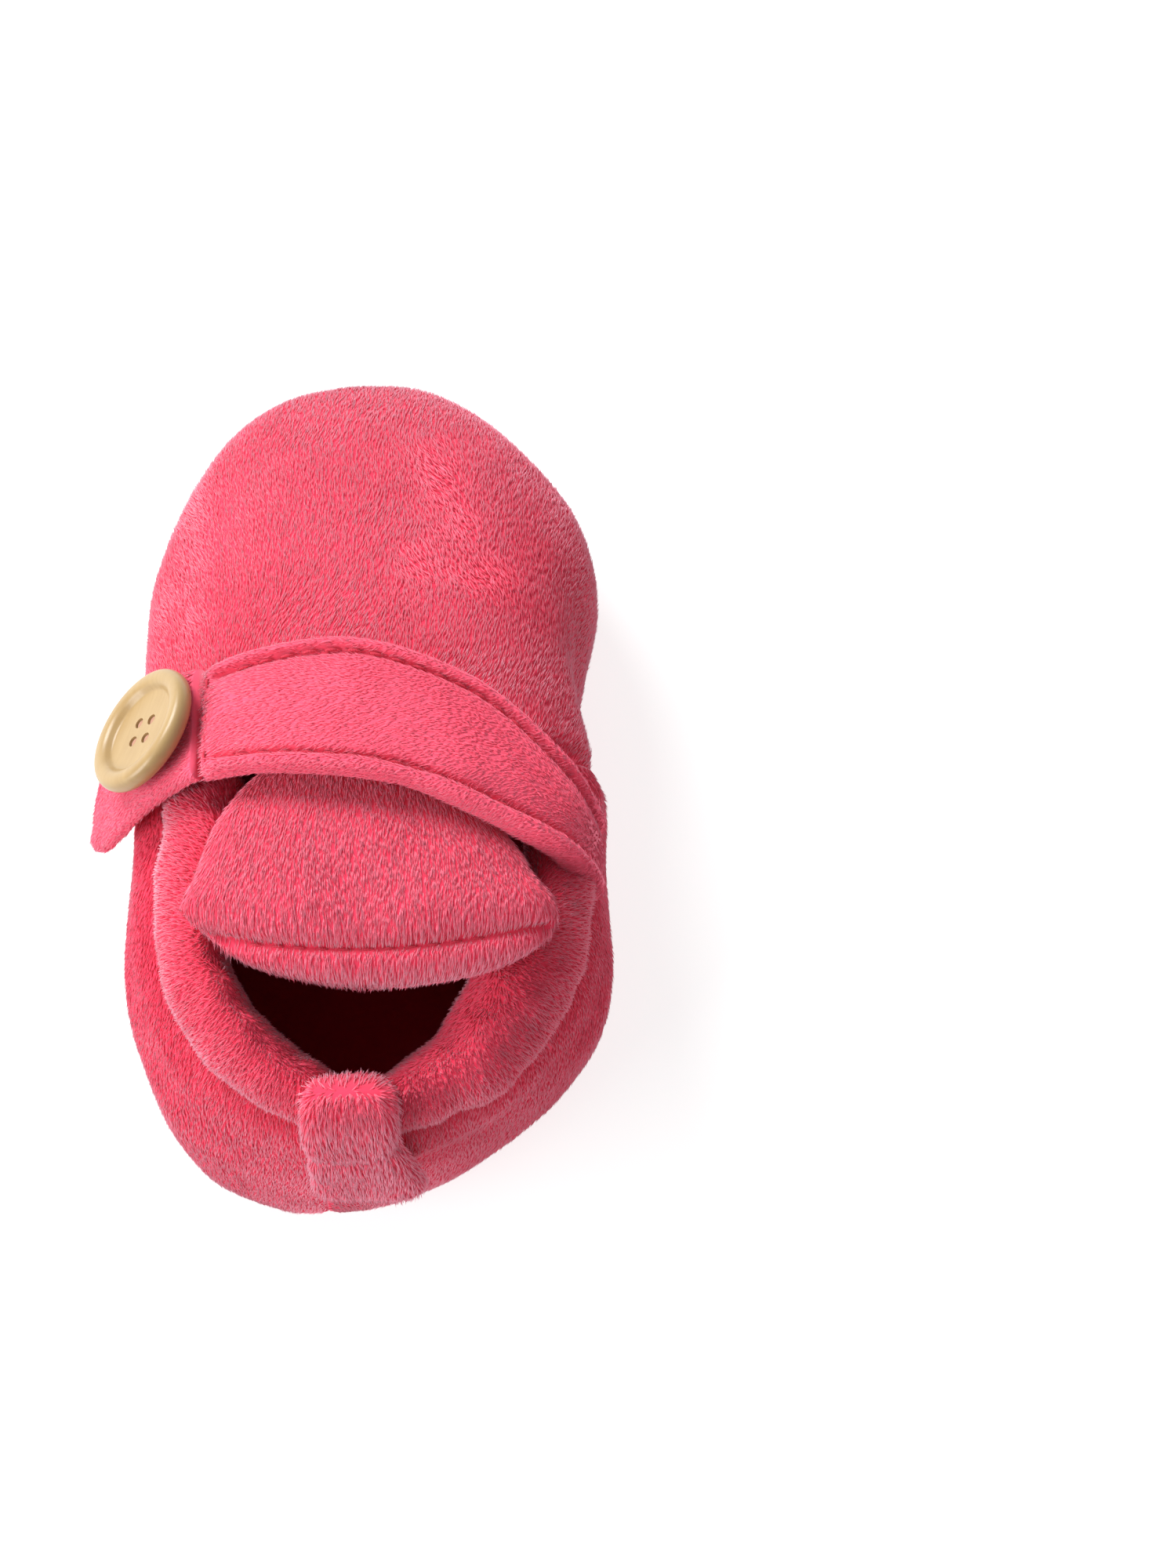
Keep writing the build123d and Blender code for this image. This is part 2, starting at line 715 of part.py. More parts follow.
with BuildPart() as tongue_stitch:
    for number in range(11):
        add(stitch(Vector(-14.5 + 3.1 * number, -34.0, 55.95), Vector(1, 0, 0)))
tongue_stitch.part.label = "tongue_stitch"
export_step(tongue_stitch.part, "parts/tongue_stitch.step")

with BuildPart() as heel_tab_stitch:
    for number in range(4):
        add(stitch(Vector(-4.2 + 2.8 * number, -63.95, 31.0), Vector(1, 0, 0), 1.9))
heel_tab_stitch.part.label = "heel_tab_stitch"
export_step(heel_tab_stitch.part, "parts/heel_tab_stitch.step")
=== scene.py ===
import itertools
import math

import bpy
import bmesh
import numpy as np
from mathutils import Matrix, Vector


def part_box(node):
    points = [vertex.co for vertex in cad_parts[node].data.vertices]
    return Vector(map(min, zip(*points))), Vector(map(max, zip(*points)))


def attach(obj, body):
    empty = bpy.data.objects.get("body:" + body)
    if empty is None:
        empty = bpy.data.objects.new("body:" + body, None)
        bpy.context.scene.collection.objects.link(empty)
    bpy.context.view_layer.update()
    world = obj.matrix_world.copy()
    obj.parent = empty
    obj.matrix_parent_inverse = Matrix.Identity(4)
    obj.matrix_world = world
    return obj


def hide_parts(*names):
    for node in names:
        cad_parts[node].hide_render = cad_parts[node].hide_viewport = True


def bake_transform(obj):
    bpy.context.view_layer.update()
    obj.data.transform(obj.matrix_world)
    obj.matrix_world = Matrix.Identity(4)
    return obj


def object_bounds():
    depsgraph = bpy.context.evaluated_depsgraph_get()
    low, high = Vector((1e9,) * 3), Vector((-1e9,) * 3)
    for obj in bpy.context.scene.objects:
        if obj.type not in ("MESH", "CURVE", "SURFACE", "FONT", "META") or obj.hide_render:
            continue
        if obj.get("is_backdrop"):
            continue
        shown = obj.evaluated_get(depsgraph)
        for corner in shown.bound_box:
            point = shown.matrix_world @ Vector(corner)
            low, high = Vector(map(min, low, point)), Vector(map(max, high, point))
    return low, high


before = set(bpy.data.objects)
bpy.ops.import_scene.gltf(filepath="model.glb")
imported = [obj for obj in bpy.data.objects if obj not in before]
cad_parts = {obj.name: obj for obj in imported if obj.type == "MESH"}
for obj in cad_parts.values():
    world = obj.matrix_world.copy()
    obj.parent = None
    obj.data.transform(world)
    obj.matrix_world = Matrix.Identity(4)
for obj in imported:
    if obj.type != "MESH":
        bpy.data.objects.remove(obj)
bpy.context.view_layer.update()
MM = 0.001
rng = np.random.default_rng(11)

# ---------------------------------------------------------------- small maths


def unit(v):
    """Vectors scaled to length 1."""
    return v / np.maximum(np.linalg.norm(v, axis=-1, keepdims=True), 1e-9)


def ease(a):
    """Smooth step from 0 to 1 while a goes from 0 to 1."""
    a = np.clip(a, 0, 1)
    return a * a * (3 - 2 * a)


def bell(distance, width):
    """1 at distance 0, fading to almost nothing at twice the width."""
    return np.exp(-(distance / width) ** 2)


def smooth_rows(table, t):
    """Smooth curve through the rows of a table; t counts rows."""
    table = np.asarray(table, float)
    last = len(table) - 1
    t = np.clip(t, 0, last - 1e-9)
    i = np.floor(t).astype(int)
    f = (t - i)[..., None]
    p1, p2 = table[i], table[i + 1]
    p0 = np.where((i > 0)[..., None], table[np.maximum(i - 1, 0)], 2 * p1 - p2)
    p3 = np.where((i < last - 1)[..., None], table[np.minimum(i + 2, last)], 2 * p2 - p1)
    return p1 + 0.5 * f * (p2 - p0 + f * (2 * p0 - 5 * p1 + 4 * p2 - p3 + f * (3 * (p1 - p2) + p3 - p0)))


def curve_y(points, x):
    """Smooth y over x through points sorted by x."""
    xs = np.array([p[0] for p in points], float)
    t = np.interp(x, xs, np.arange(len(xs)))
    return smooth_rows([[p[1]] for p in points], t)[..., 0]


LATTICE = rng.random((32, 32, 32)) * 2 - 1


def noise(p, size):
    """Smooth noise between -1 and 1 with lumps of about this size in mm."""
    q = np.asarray(p, float) / size
    i = np.floor(q).astype(int)
    f = q - i
    f = f * f * (3 - 2 * f)
    total = 0
    for corner in itertools.product((0, 1), repeat=3):
        near = np.where(corner, f, 1 - f)
        x, y, z = np.moveaxis((i + corner) % 32, -1, 0)
        total = total + near[..., 0] * near[..., 1] * near[..., 2] * LATTICE[x, y, z]
    return total


def grid_normals(p, wrap=False):
    """Unit normals of a grid of points; wrap closes it in the second direction."""
    du = np.gradient(p, axis=0)
    if wrap:
        dv = (np.roll(p, -1, 1) - np.roll(p, 1, 1)) / 2
    else:
        dv = np.gradient(p, axis=1)
    return unit(np.cross(du, dv))


# ---------------------------------------------------------------- materials


class Recipe:
    """Node tree of one material, with short calls for the nodes used here."""

    def __init__(self, name):
        self.mat = bpy.data.materials.new(name)
        self.mat.use_nodes = True
        self.nodes = self.mat.node_tree.nodes
        self.link = self.mat.node_tree.links.new
        self.bsdf = self.nodes["Principled BSDF"]
        self.coords = self.nodes.new("ShaderNodeTexCoord").outputs["Object"]

    def feed(self, socket, value):
        """Gives a socket a number, a colour or another node's output."""
        if isinstance(value, (int, float)):
            socket.default_value = value
        elif isinstance(value, tuple):
            socket.default_value = (*value, 1)
        else:
            self.link(value, socket)

    def noise(self, scale, detail=3.0, stretch=None):
        """Noise over the object's own coordinates, stretched along them if asked."""
        tex = self.nodes.new("ShaderNodeTexNoise")
        tex.inputs["Scale"].default_value = scale
        tex.inputs["Detail"].default_value = detail
        place = self.coords
        if stretch:
            mapping = self.nodes.new("ShaderNodeMapping")
            mapping.inputs["Scale"].default_value = stretch
            self.link(place, mapping.inputs["Vector"])
            place = mapping.outputs["Vector"]
        self.link(place, tex.inputs["Vector"])
        return tex.outputs["Fac"]

    def math(self, kind, *values):
        """Result of a sum of this kind on numbers or sockets."""
        node = self.nodes.new("ShaderNodeMath")
        node.operation = kind
        for socket, value in zip(node.inputs, values):
            self.feed(socket, value)
        return node.outputs[0]

    def scaled(self, value, share):
        """A value times a number."""
        return self.math("MULTIPLY", value, share)

    def mix(self, factor, a, b):
        """Colour a at factor 0, colour b at factor 1."""
        node = self.nodes.new("ShaderNodeMix")
        node.data_type = "RGBA"
        node.clamp_factor = True
        self.feed(node.inputs[0], factor)
        self.feed(node.inputs[6], a)
        self.feed(node.inputs[7], b)
        return node.outputs[2]

    def bump(self, height, strength, distance):
        """Fine relief of the surface, up to this distance in metres."""
        node = self.nodes.new("ShaderNodeBump")
        node.inputs["Strength"].default_value = strength
        node.inputs["Distance"].default_value = distance
        self.link(height, node.inputs["Height"])
        self.link(node.outputs["Normal"], self.bsdf.inputs["Normal"])

    def finish(self, **values):
        """Sets inputs of the surface, named with low lines for spaces, and returns the material."""
        for key, value in values.items():
            self.feed(self.bsdf.inputs[key.replace("_", " ")], value)
        return self.mat


def plush_material(name, root_shade, mid, tip_glint, sheen):
    """Pile cloth: painted shade at the tuft roots and painted highlight at their tips, tone that varies per
    tuft, and painted light and dark patches of brushed nap.
    """
    r = Recipe(name)
    # The tip attribute runs from the tuft roots to their points and carries the painted shade and highlight.
    tip = r.nodes.new("ShaderNodeAttribute")
    tip.attribute_name = "tip"
    tip = tip.outputs["Fac"]
    tuft = r.nodes.new("ShaderNodeNewGeometry").outputs["Random Per Island"]
    # Large soft blotches that move where the root shade ends: painted light and dark patches of brushed nap.
    painted_patches = r.noise(70.0, 2.0)
    grain = r.noise(1500.0, 2.0)
    # Near the roots the colour stays with the root shade: painted shade between the tufts.
    lift = r.math("ADD", r.math("MULTIPLY_ADD", tip, 0.45, 0.2), r.scaled(painted_patches, 0.5))
    tuft_share = r.math("MULTIPLY_ADD", tuft, 0.8, 0.3)
    # Paler colour towards the points, stronger on some tufts: painted highlight on the tips.
    glint_share = r.math("MULTIPLY", tuft_share, r.math("MULTIPLY_ADD", tip, 0.9, -0.55))
    glint_share.node.use_clamp = True
    value = r.nodes.new("ShaderNodeHueSaturation")
    r.link(r.mix(glint_share, r.mix(lift, root_shade, mid), tip_glint), value.inputs["Color"])
    r.link(r.math("MULTIPLY_ADD", grain, 0.16, 0.92), value.inputs["Value"])
    return r.finish(
        Base_Color=value.outputs["Color"], Roughness=0.85, Specular_IOR_Level=0.15,
        Sheen_Weight=sheen, Sheen_Roughness=0.45, Sheen_Tint=(1.0, 0.56, 0.68),
    )


def cloth_material(name, dark, light, scale, strength, twill=False):
    """Woven or felted cloth with a thread pattern in colour and bump."""
    r = Recipe(name)
    wave = r.nodes.new("ShaderNodeTexWave")
    wave.bands_direction = "DIAGONAL" if twill else "X"
    wave.inputs["Scale"].default_value = scale / 6.0
    wave.inputs["Distortion"].default_value = 1.2
    wave.inputs["Detail"].default_value = 2.0
    wave.inputs["Detail Scale"].default_value = 3.0
    r.link(r.coords, wave.inputs["Vector"])
    pattern = r.math("ADD", r.scaled(wave.outputs["Fac"], 0.5), r.scaled(r.noise(scale, 2.0), 0.3))
    pattern = r.math("ADD", pattern, r.scaled(r.noise(90.0), 0.3))
    r.bump(pattern, strength, 0.0002)
    return r.finish(
        Base_Color=r.mix(pattern, dark, light), Roughness=0.9, Specular_IOR_Level=0.2, Sheen_Weight=0.2,
    )


def wood_material(name):
    """Pale varnished wood with a straight grain."""
    r = Recipe(name)
    grain = r.noise(220.0, 6.0, (1.0, 0.22, 6.0))
    pores = r.noise(900.0, 3.0, (1.0, 0.12, 3.0))
    colour = r.mix(grain, (0.33, 0.20, 0.072), (0.46, 0.31, 0.130))
    colour = r.mix(r.scaled(pores, 0.35), colour, (0.29, 0.16, 0.06))
    colour = r.mix(r.scaled(r.noise(160.0, 2.0), 0.35), colour, (0.54, 0.39, 0.19))
    r.bump(grain, 0.12, 0.0002)
    rough = r.math("MULTIPLY_ADD", pores, 0.15, 0.30)
    return r.finish(Base_Color=colour, Roughness=rough, Coat_Weight=0.25, Coat_Roughness=0.25)


def soft_material(name, dark, light, roughness, scale):
    """Foam or rubber with a mottled colour and a fine uneven surface."""
    r = Recipe(name)
    mottle = r.noise(scale, 4.0)
    r.bump(mottle, 0.2, 0.0001)
    return r.finish(Base_Color=r.mix(mottle, dark, light), Roughness=roughness)


# Each set of shades: painted root shade, mid tone, painted tip highlight.
upper_shades = (0.72, 0.024, 0.066), (0.94, 0.066, 0.140), (1.0, 0.36, 0.48)
plush = plush_material("plush", *upper_shades, 0.8)
strap_shades = (0.82, 0.062, 0.125), (0.96, 0.140, 0.235), (1.0, 0.42, 0.52)
strap_plush = plush_material("strap_plush", *strap_shades, 0.6)
lining_shades = (0.30, 0.004, 0.010), (0.52, 0.012, 0.028), (0.75, 0.06, 0.09)
plush_lining = plush_material("plush_lining", *lining_shades, 0.2)
sole_cloth = cloth_material("sole_cloth", (0.30, 0.006, 0.018), (0.46, 0.016, 0.038), 5200.0, 0.5, True)
tape = cloth_material("fastener", (0.50, 0.34, 0.25), (0.72, 0.56, 0.45), 5000.0, 0.8)
thread = cloth_material("thread", (0.50, 0.020, 0.045), (0.80, 0.065, 0.12), 9000.0, 0.6)
button_thread = cloth_material("button_thread", (0.34, 0.15, 0.09), (0.56, 0.31, 0.21), 9000.0, 0.5)
wadding = cloth_material("wadding", (0.78, 0.77, 0.75), (0.90, 0.89, 0.88), 900.0, 0.8)
grip = soft_material("grip", (0.66, 0.34, 0.40), (0.78, 0.46, 0.52), 0.45, 400.0)
foam = soft_material("foam", (0.72, 0.69, 0.60), (0.88, 0.86, 0.80), 0.9, 1500.0)
wood = wood_material("button")

# ---------------------------------------------------------------- meshes


def put(name, verts, faces, mat, body, slot, covers=(), tip=None):
    """Makes a mesh piece from points in mm and puts it on a body; a piece given a bend between two bodies is
    left on none.
    """
    mesh = bpy.data.meshes.new(name)
    verts = np.asarray(verts, np.float32) * MM
    mesh.vertices.add(len(verts))
    mesh.vertices.foreach_set("co", verts.ravel())
    sides = faces.shape[1]
    mesh.loops.add(faces.size)
    mesh.loops.foreach_set("vertex_index", faces.astype(np.int32).ravel())
    mesh.polygons.add(len(faces))
    mesh.polygons.foreach_set("loop_start", np.arange(0, faces.size, sides, dtype=np.int32))
    mesh.update(calc_edges=True)
    mesh.polygons.foreach_set("use_smooth", np.full(len(faces), True))
    # tip picks the plush colour: low values take the painted root shade, high values the painted tip
    # highlight.
    layer = mesh.attributes.new("tip", "FLOAT", "POINT")
    tip = np.full(len(verts), 0.3) if tip is None else tip
    layer.data.foreach_set("value", tip.astype(np.float32))
    mesh.materials.append(mat)
    obj = bpy.data.objects.new(name, mesh)
    bpy.context.scene.collection.objects.link(obj)
    if isinstance(body, str):
        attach(obj, body)
    else:
        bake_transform(obj)
    if covers:
        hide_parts(*covers)
    return obj


def grid_faces(rows, cols, wrap=False, start=0, turn=False):
    """Quads of a grid of points, closed in the second direction when wrap is set."""
    i, j = np.meshgrid(np.arange(rows - 1), np.arange(cols if wrap else cols - 1), indexing="ij")
    k = (j + 1) % cols
    quads = np.stack([i * cols + j, (i + 1) * cols + j, (i + 1) * cols + k, i * cols + k], -1).reshape(-1, 4)
    if turn:
        quads = quads[:, ::-1]
    return quads + start


def shell_faces(rows, cols):
    """Quads of two open grids back to back, joined along their rim."""
    size = rows * cols
    front = grid_faces(rows, cols)
    back = grid_faces(rows, cols, start=size, turn=True)
    rim = np.concatenate([
        np.arange(cols), np.arange(1, rows) * cols + cols - 1,
        (rows - 1) * cols + np.arange(cols - 2, -1, -1), np.arange(rows - 2, 0, -1) * cols,
    ])
    ahead = np.roll(rim, -1)
    side = np.stack([rim, ahead, ahead + size, rim + size], -1)
    return np.concatenate([front, back, side])


def put_shell(name, outer, thickness, *rest, **more):
    """Cloth panel: the outer face of a grid, moved inwards to close it."""
    rows, cols = outer.shape[:2]
    inner = outer - grid_normals(outer) * thickness
    verts = np.concatenate([outer.reshape(-1, 3), inner.reshape(-1, 3)])
    return put(name, verts, shell_faces(rows, cols), *rest, **more)


def put_tube(name, rings, *rest, **more):
    """Closed tube through rings of points, capped at both ends."""
    rows, cols = rings.shape[:2]
    verts = np.concatenate([rings.reshape(-1, 3), rings[0].mean(0)[None], rings[-1].mean(0)[None]])
    sides = grid_faces(rows, cols, wrap=True)
    j = np.arange(cols)
    k = (j + 1) % cols
    first = np.stack([np.full(cols, rows * cols), j, k], -1)
    last = np.stack([np.full(cols, rows * cols + 1), (rows - 1) * cols + k, (rows - 1) * cols + j], -1)
    tris = np.concatenate([sides[:, [0, 1, 2]], sides[:, [0, 2, 3]], first, last])
    return put(name, verts, tris, *rest, **more)


def pile(name, points, normals, flow, per_mm2, length, width, lay, mat, body, slot,
         wrap=False, weight=None, jitter=0.16, brushed=None, stray=1.0, tip_glint=0.0):
    """Tufts of pile scattered over a grid: closed spikes that lie along the flow."""
    rows, cols = points.shape[:2]
    p = np.concatenate([points, points[:, :1]], 1) if wrap else points
    n = np.concatenate([normals, normals[:, :1]], 1) if wrap else normals
    a, b, c, d = p[:-1, :-1], p[1:, :-1], p[1:, 1:], p[:-1, 1:]
    share = np.linalg.norm(np.cross(b - a, c - a), axis=-1) + np.linalg.norm(np.cross(c - a, d - a), axis=-1)
    share = 0.5 * share
    if weight is not None:
        share = share * weight((a + c) / 2, n[:-1, :-1])
    total = share.sum()
    count = int(total * per_mm2)
    edges = np.cumsum(share.ravel())
    picks = np.searchsorted(edges, (np.arange(count) + rng.random(count)) * (total / count))
    picks = np.clip(picks, 0, share.size - 1)
    i, j = np.unravel_index(picks, share.shape)
    u, v = rng.random((2, count, 1))

    def at(g):
        """A grid's value at each tuft."""
        near = g[i, j] * (1 - u) + g[i + 1, j] * u
        far = g[i, j + 1] * (1 - u) + g[i + 1, j + 1] * u
        return near * (1 - v) + far * v

    root = at(p)
    up = unit(at(n))
    run = flow(root, up)
    run = unit(run - up * (run * up).sum(-1, keepdims=True))
    side = np.cross(up, run)
    stir = np.zeros(count) if brushed is None else brushed(root)
    swirl = stray * (0.38 * noise(root + 40, 11.0) + 0.22 * noise(root, 3.4))
    swirl = swirl + rng.normal(0, jitter, count) * (1 + 2.5 * stir)
    swirl = swirl + stir * (1.3 + 0.7 * noise(root + 70, 4.0))
    run = run * np.cos(swirl)[:, None] + side * np.sin(swirl)[:, None]
    side = np.cross(up, run)
    lean = lay * (1 + 0.35 * noise(root + 90, 5.0) + 1.5 * stir) + rng.normal(0, 0.05, count)
    lean = np.clip(lean, 0.06, 1.2)[:, None]
    tall = length * (0.75 + 0.5 * rng.random(count))[:, None]
    wide = width * (0.7 + 0.6 * rng.random(count))[:, None]
    low = root - up * 0.10
    left = low + side * wide / 2
    right = low - side * wide / 2
    ridge = low + up * wide * 0.55
    point = root + (run * np.cos(lean) + up * np.sin(lean)) * tall
    verts = np.stack([left, right, ridge, point], 1).reshape(-1, 3)
    k = np.arange(count)[:, None] * 4
    tris = np.concatenate([k + [0, 3, 2], k + [2, 3, 1], k + [1, 3, 0], k + [0, 2, 1]], 1).reshape(-1, 3)
    # tip rises from the root corners to the point, from painted root shade to painted tip highlight; a
    # stronger glint setting raises it, and brushed tufts get paler tips, a painted sheen.
    tip = np.array([0.3, 0.3, 0.5, 0.8]) + tip_glint * np.array([0.3, 0.3, 0.7, 1.0])
    tip = tip + stir[:, None] * np.array([0.1, 0.1, 0.5, 0.9])
    return put(name, verts, tris, mat, body, slot, tip=tip.ravel())


def capsule_row(name, centres, runs, ups, length, radius, mat, body, slot, covers=()):
    """Row of stitches: little bent bars with round ends, sunk at both ends."""
    verts, faces = [], []
    stations, around = 9, 8
    q = np.arange(around) / around * 2 * math.pi
    j = np.arange(around)
    k = (j + 1) % around
    for number, (centre, run, up) in enumerate(zip(centres, runs, ups)):
        run = unit(run)
        up = unit(up - run * (run @ up))
        side = np.cross(run, up)
        base = number * (stations * around + 2)
        for s in range(stations):
            f = s / (stations - 1) * 2 - 1
            r = radius * max(0.18, (1 - abs(f) ** 3.5)) ** 0.6
            middle = centre + run * f * length / 2 + up * radius * (0.35 - 1.5 * f * f)
            verts.append(middle + r * (np.cos(q)[:, None] * side + np.sin(q)[:, None] * up))
        for s in range(stations - 1):
            a = base + s * around
            quad = np.stack([a + j, a + around + j, a + around + k, a + k], -1)
            faces.append(quad[:, [0, 2, 1]])
            faces.append(quad[:, [0, 3, 2]])
        verts.append((centre - run * length / 2 - up * radius * 1.15)[None])
        verts.append((centre + run * length / 2 - up * radius * 1.15)[None])
        end = base + stations * around
        faces.append(np.stack([np.full(around, end), base + j, base + k], -1))
        a = end - around
        faces.append(np.stack([np.full(around, end + 1), a + k, a + j], -1))
    return put(name, np.concatenate(verts), np.concatenate(faces), mat, body, slot, covers)


# ---------------------------------------------------------------- the shoe form

# height, toe, heel, ball lateral, ball medial, heel lateral, heel medial
RINGS = [
    (0.7, 53.5, -52.8, 30.0, 27.4, 19.8, 20.8),
    (2.6, 56.5, -56.0, 30.8, 29.2, 23.8, 24.8),
    (7.0, 58.7, -58.4, 31.0, 30.6, 28.0, 28.6),
    (14.0, 59.2, -59.2, 31.0, 31.0, 31.2, 31.4),
    (22.0, 57.8, -59.0, 30.4, 30.6, 32.3, 32.5),
    (29.0, 53.4, -57.8, 29.0, 29.2, 31.6, 32.0),
    (35.0, 44.5, -56.6, 26.6, 27.0, 30.0, 30.5),
    (40.0, 31.5, -55.2, 24.3, 24.8, 28.0, 28.5),
    (44.5, 18.5, -53.0, 21.6, 22.2, 25.5, 26.0),
    (48.5, 6.0, -50.0, 18.0, 18.5, 22.0, 22.5),
    (51.0, -5.0, -46.0, 12.5, 12.5, 16.0, 16.0),
]
BLUNT = 2 / 2.4


def power(v, e):
    """Power of the size of v, with its sign kept."""
    return np.sign(v) * np.abs(v) ** e


def fullness(y, z, lateral):
    """How much wider than the plain ring the upper is at this place."""
    outer = 0.085 * bell(y - 36, 18) + 0.14 * bell(y + 40, 18)
    inner = 0.10 * bell(y - 36, 14) - 0.10 * bell(y - 9, 11) + 0.155 * bell(y + 40, 18)
    return 1 + (1 - ease((z - 24) / 14)) * np.where(lateral, outer, inner)


def sway(y, z):
    """Sideways set of heel and toe towards the lateral side."""
    reach = 5.6 * ease((-34 - y) / 26) + 1.5 * ease((y - 36) / 22)
    return -reach * (1 - 0.8 * ease((z - 24) / 14))


def seam_line(z):
    """Where the seam between vamp and quarters lies along the foot at this height."""
    return np.interp(z, [0, 14, 30, 60], [0.0, 0.0, -3.5, -5.0])


def skin(level, share, front):
    """Points of the upper: level counts rings, share runs from lateral to medial."""
    row = smooth_rows(RINGS, level)
    z, toe, heel, bl, bm, hl, hm = np.moveaxis(row, -1, 0)
    middle, half = (toe + heel) / 2, (toe - heel) / 2
    ratio = np.clip((seam_line(z) - middle) / half, -0.999, 0.999)
    edge = np.arcsin(power(ratio, 1 / BLUNT))
    if front:
        angle = (math.pi - edge) + (2 * edge - math.pi) * share
    else:
        angle = (math.pi - edge) + (math.pi + 2 * edge) * share
    y = middle + half * power(np.sin(angle), BLUNT)
    mix = ease((y + 45) / 85)
    lateral, medial = hl + (bl - hl) * mix, hm + (bm - hm) * mix
    c = np.cos(angle)
    x = np.where(c < 0, lateral, medial) * power(c, BLUNT)
    return np.stack([x * fullness(y, z, c < 0) + sway(y, z), y, z], -1)


def lumps(p, n, amount):
    """Uneven filling under the cloth."""
    return p + n * (amount * noise(p, 17.0) + 0.35 * amount * noise(p + 50, 7.0))[..., None]


def outward(rings, *maps):
    """Rings of a tube turned so that its faces look outwards, their normals, and maps turned with them."""
    n = grid_normals(rings, wrap=True)
    centre = rings.mean(1, keepdims=True)
    if ((rings - centre) * n).sum() < 0:
        rings = rings[:, ::-1]
        n = grid_normals(rings, wrap=True)
        maps = [m[:, ::-1] for m in maps]
    return (rings, n, *maps)


def toward(x, y, z):
    """Pile that runs one way."""
    return lambda p, n: np.broadcast_to(np.array([x, y, z], float), p.shape)


# ---------------------------------------------------------------- vamp and quarters

# Thicknesses of the wall's layers, and how far inside the plush face two of them start.
CLOTH, PADDING, LINING = 1.3, 1.4, 0.9
PADDING_IN, LINING_IN = 1.75, 4.6

level, share = np.meshgrid(np.linspace(0, 9.45, 190), np.linspace(0, 1, 300), indexing="ij")
vamp = skin(level, share, True)
n = grid_normals(vamp)
from_seam = vamp[..., 1] - seam_line(vamp[..., 2])
vamp = lumps(vamp, n, 0.7) - n * (0.9 * bell(from_seam, 1.6) * ease((vamp[..., 2] - 2) / 6))[..., None]
put_shell("vamp_panel", vamp, CLOTH, plush, "shoe", "plush", covers=("vamp_outer",))
batting = vamp[::2, ::2] - grid_normals(vamp[::2, ::2]) * PADDING_IN
put_shell("vamp_batting", batting, PADDING, wadding, "shoe", "wadding", covers=("vamp_wadding",))


def hand_strokes(p):
    """Bands of the vamp where a hand has brushed the pile the wrong way; the tufts there also get paler tips,
    a painted sheen.
    """
    u = p + 2.5 * np.stack([noise(p + 11, 8.0), noise(p + 33, 8.0), noise(p + 55, 8.0)], -1)
    stroke = bell(u[..., 0] - 13 + 0.12 * (u[..., 1] - 30), 6.0)
    stroke = stroke * ease((u[..., 1] - 13) / 9) * (1 - ease((u[..., 1] - 40) / 8))
    second = bell(u[..., 0] - 6, 3.5) * bell(u[..., 1] - 20, 6.0)
    edge = 0.6 * bell(u[..., 0] + 25, 4.0) * ease((u[..., 1] - 5) / 10)
    return np.clip(stroke + 0.7 * second + edge, 0, 1) * (0.65 + 0.35 * noise(p, 2.6))


pile("vamp_pile", vamp, grid_normals(vamp), toward(0.1, 1, -0.25), 5.9, 1.45, 0.27, 0.24,
     plush, "shoe", "plush", brushed=hand_strokes, jitter=0.12, stray=0.8)

for side, first, last in (("medial", 1.0, 0.5), ("lateral", 0.5, 0.0)):
    level, share = np.meshgrid(np.linspace(0, 6.75, 110), np.linspace(first, last, 200), indexing="ij")
    panel = skin(level, share, False)
    n = grid_normals(panel)
    z = panel[..., 2]
    from_seam = seam_line(z) - panel[..., 1]
    puff = 0.6 * ease(z / 14) * (1 - ease((z - 24) / 12))
    puff = puff + 0.9 * bell(z - 32.5, 3.2) - 1.9 * bell(z - 37.4, 1.5)
    puff = puff - 0.9 * bell(from_seam, 1.6) * ease((z - 2) / 6)
    panel = lumps(panel, n, 0.8) + n * puff[..., None]
    put_shell(f"quarter_{side}_panel", panel, CLOTH, plush, "shoe", "plush", covers=(f"quarter_{side}",))
    batting = panel[8::2, ::2] - grid_normals(panel[8::2, ::2]) * PADDING_IN
    put_shell(f"quarter_{side}_batting", batting, PADDING, wadding, "shoe", "wadding",
              covers=("quarter_wadding",) if side == "medial" else ())
    n = grid_normals(panel)
    way = toward(0.15 if side == "medial" else -0.15, -1, -0.35)
    pile(f"quarter_{side}_pile", panel, n, way, 6.4, 1.3, 0.30, 0.28, plush, "shoe", "plush",
         weight=lambda p, n: 1.0 - 0.8 * bell(p[..., 2] - 37.6, 0.9))

# ---------------------------------------------------------------- lining and footbed

level, share = np.meshgrid(np.linspace(2.2, 6.7, 70), np.linspace(0, 1, 240), indexing="ij")
inside = skin(level, share, False)
inside = inside + grid_normals(inside) * LINING_IN
put_shell("heel_lining", inside, LINING, plush_lining, "shoe", "plush_lining", covers=("quarter_lining",))
pile("heel_lining_pile", inside, grid_normals(inside), toward(0, 0.2, -1), 2.6, 1.7, 0.42, 0.40,
     plush_lining, "shoe", "plush_lining", weight=lambda p, n: (p[..., 2] > 14) * 1.0)

level, share = np.meshgrid(np.linspace(2.2, 9.1, 90), np.linspace(1, 0, 200), indexing="ij")
inside = skin(level, share, True)
inside = inside + grid_normals(inside) * LINING_IN
put_shell("toe_lining", inside, LINING, plush_lining, "shoe", "plush_lining", covers=("vamp_lining",))


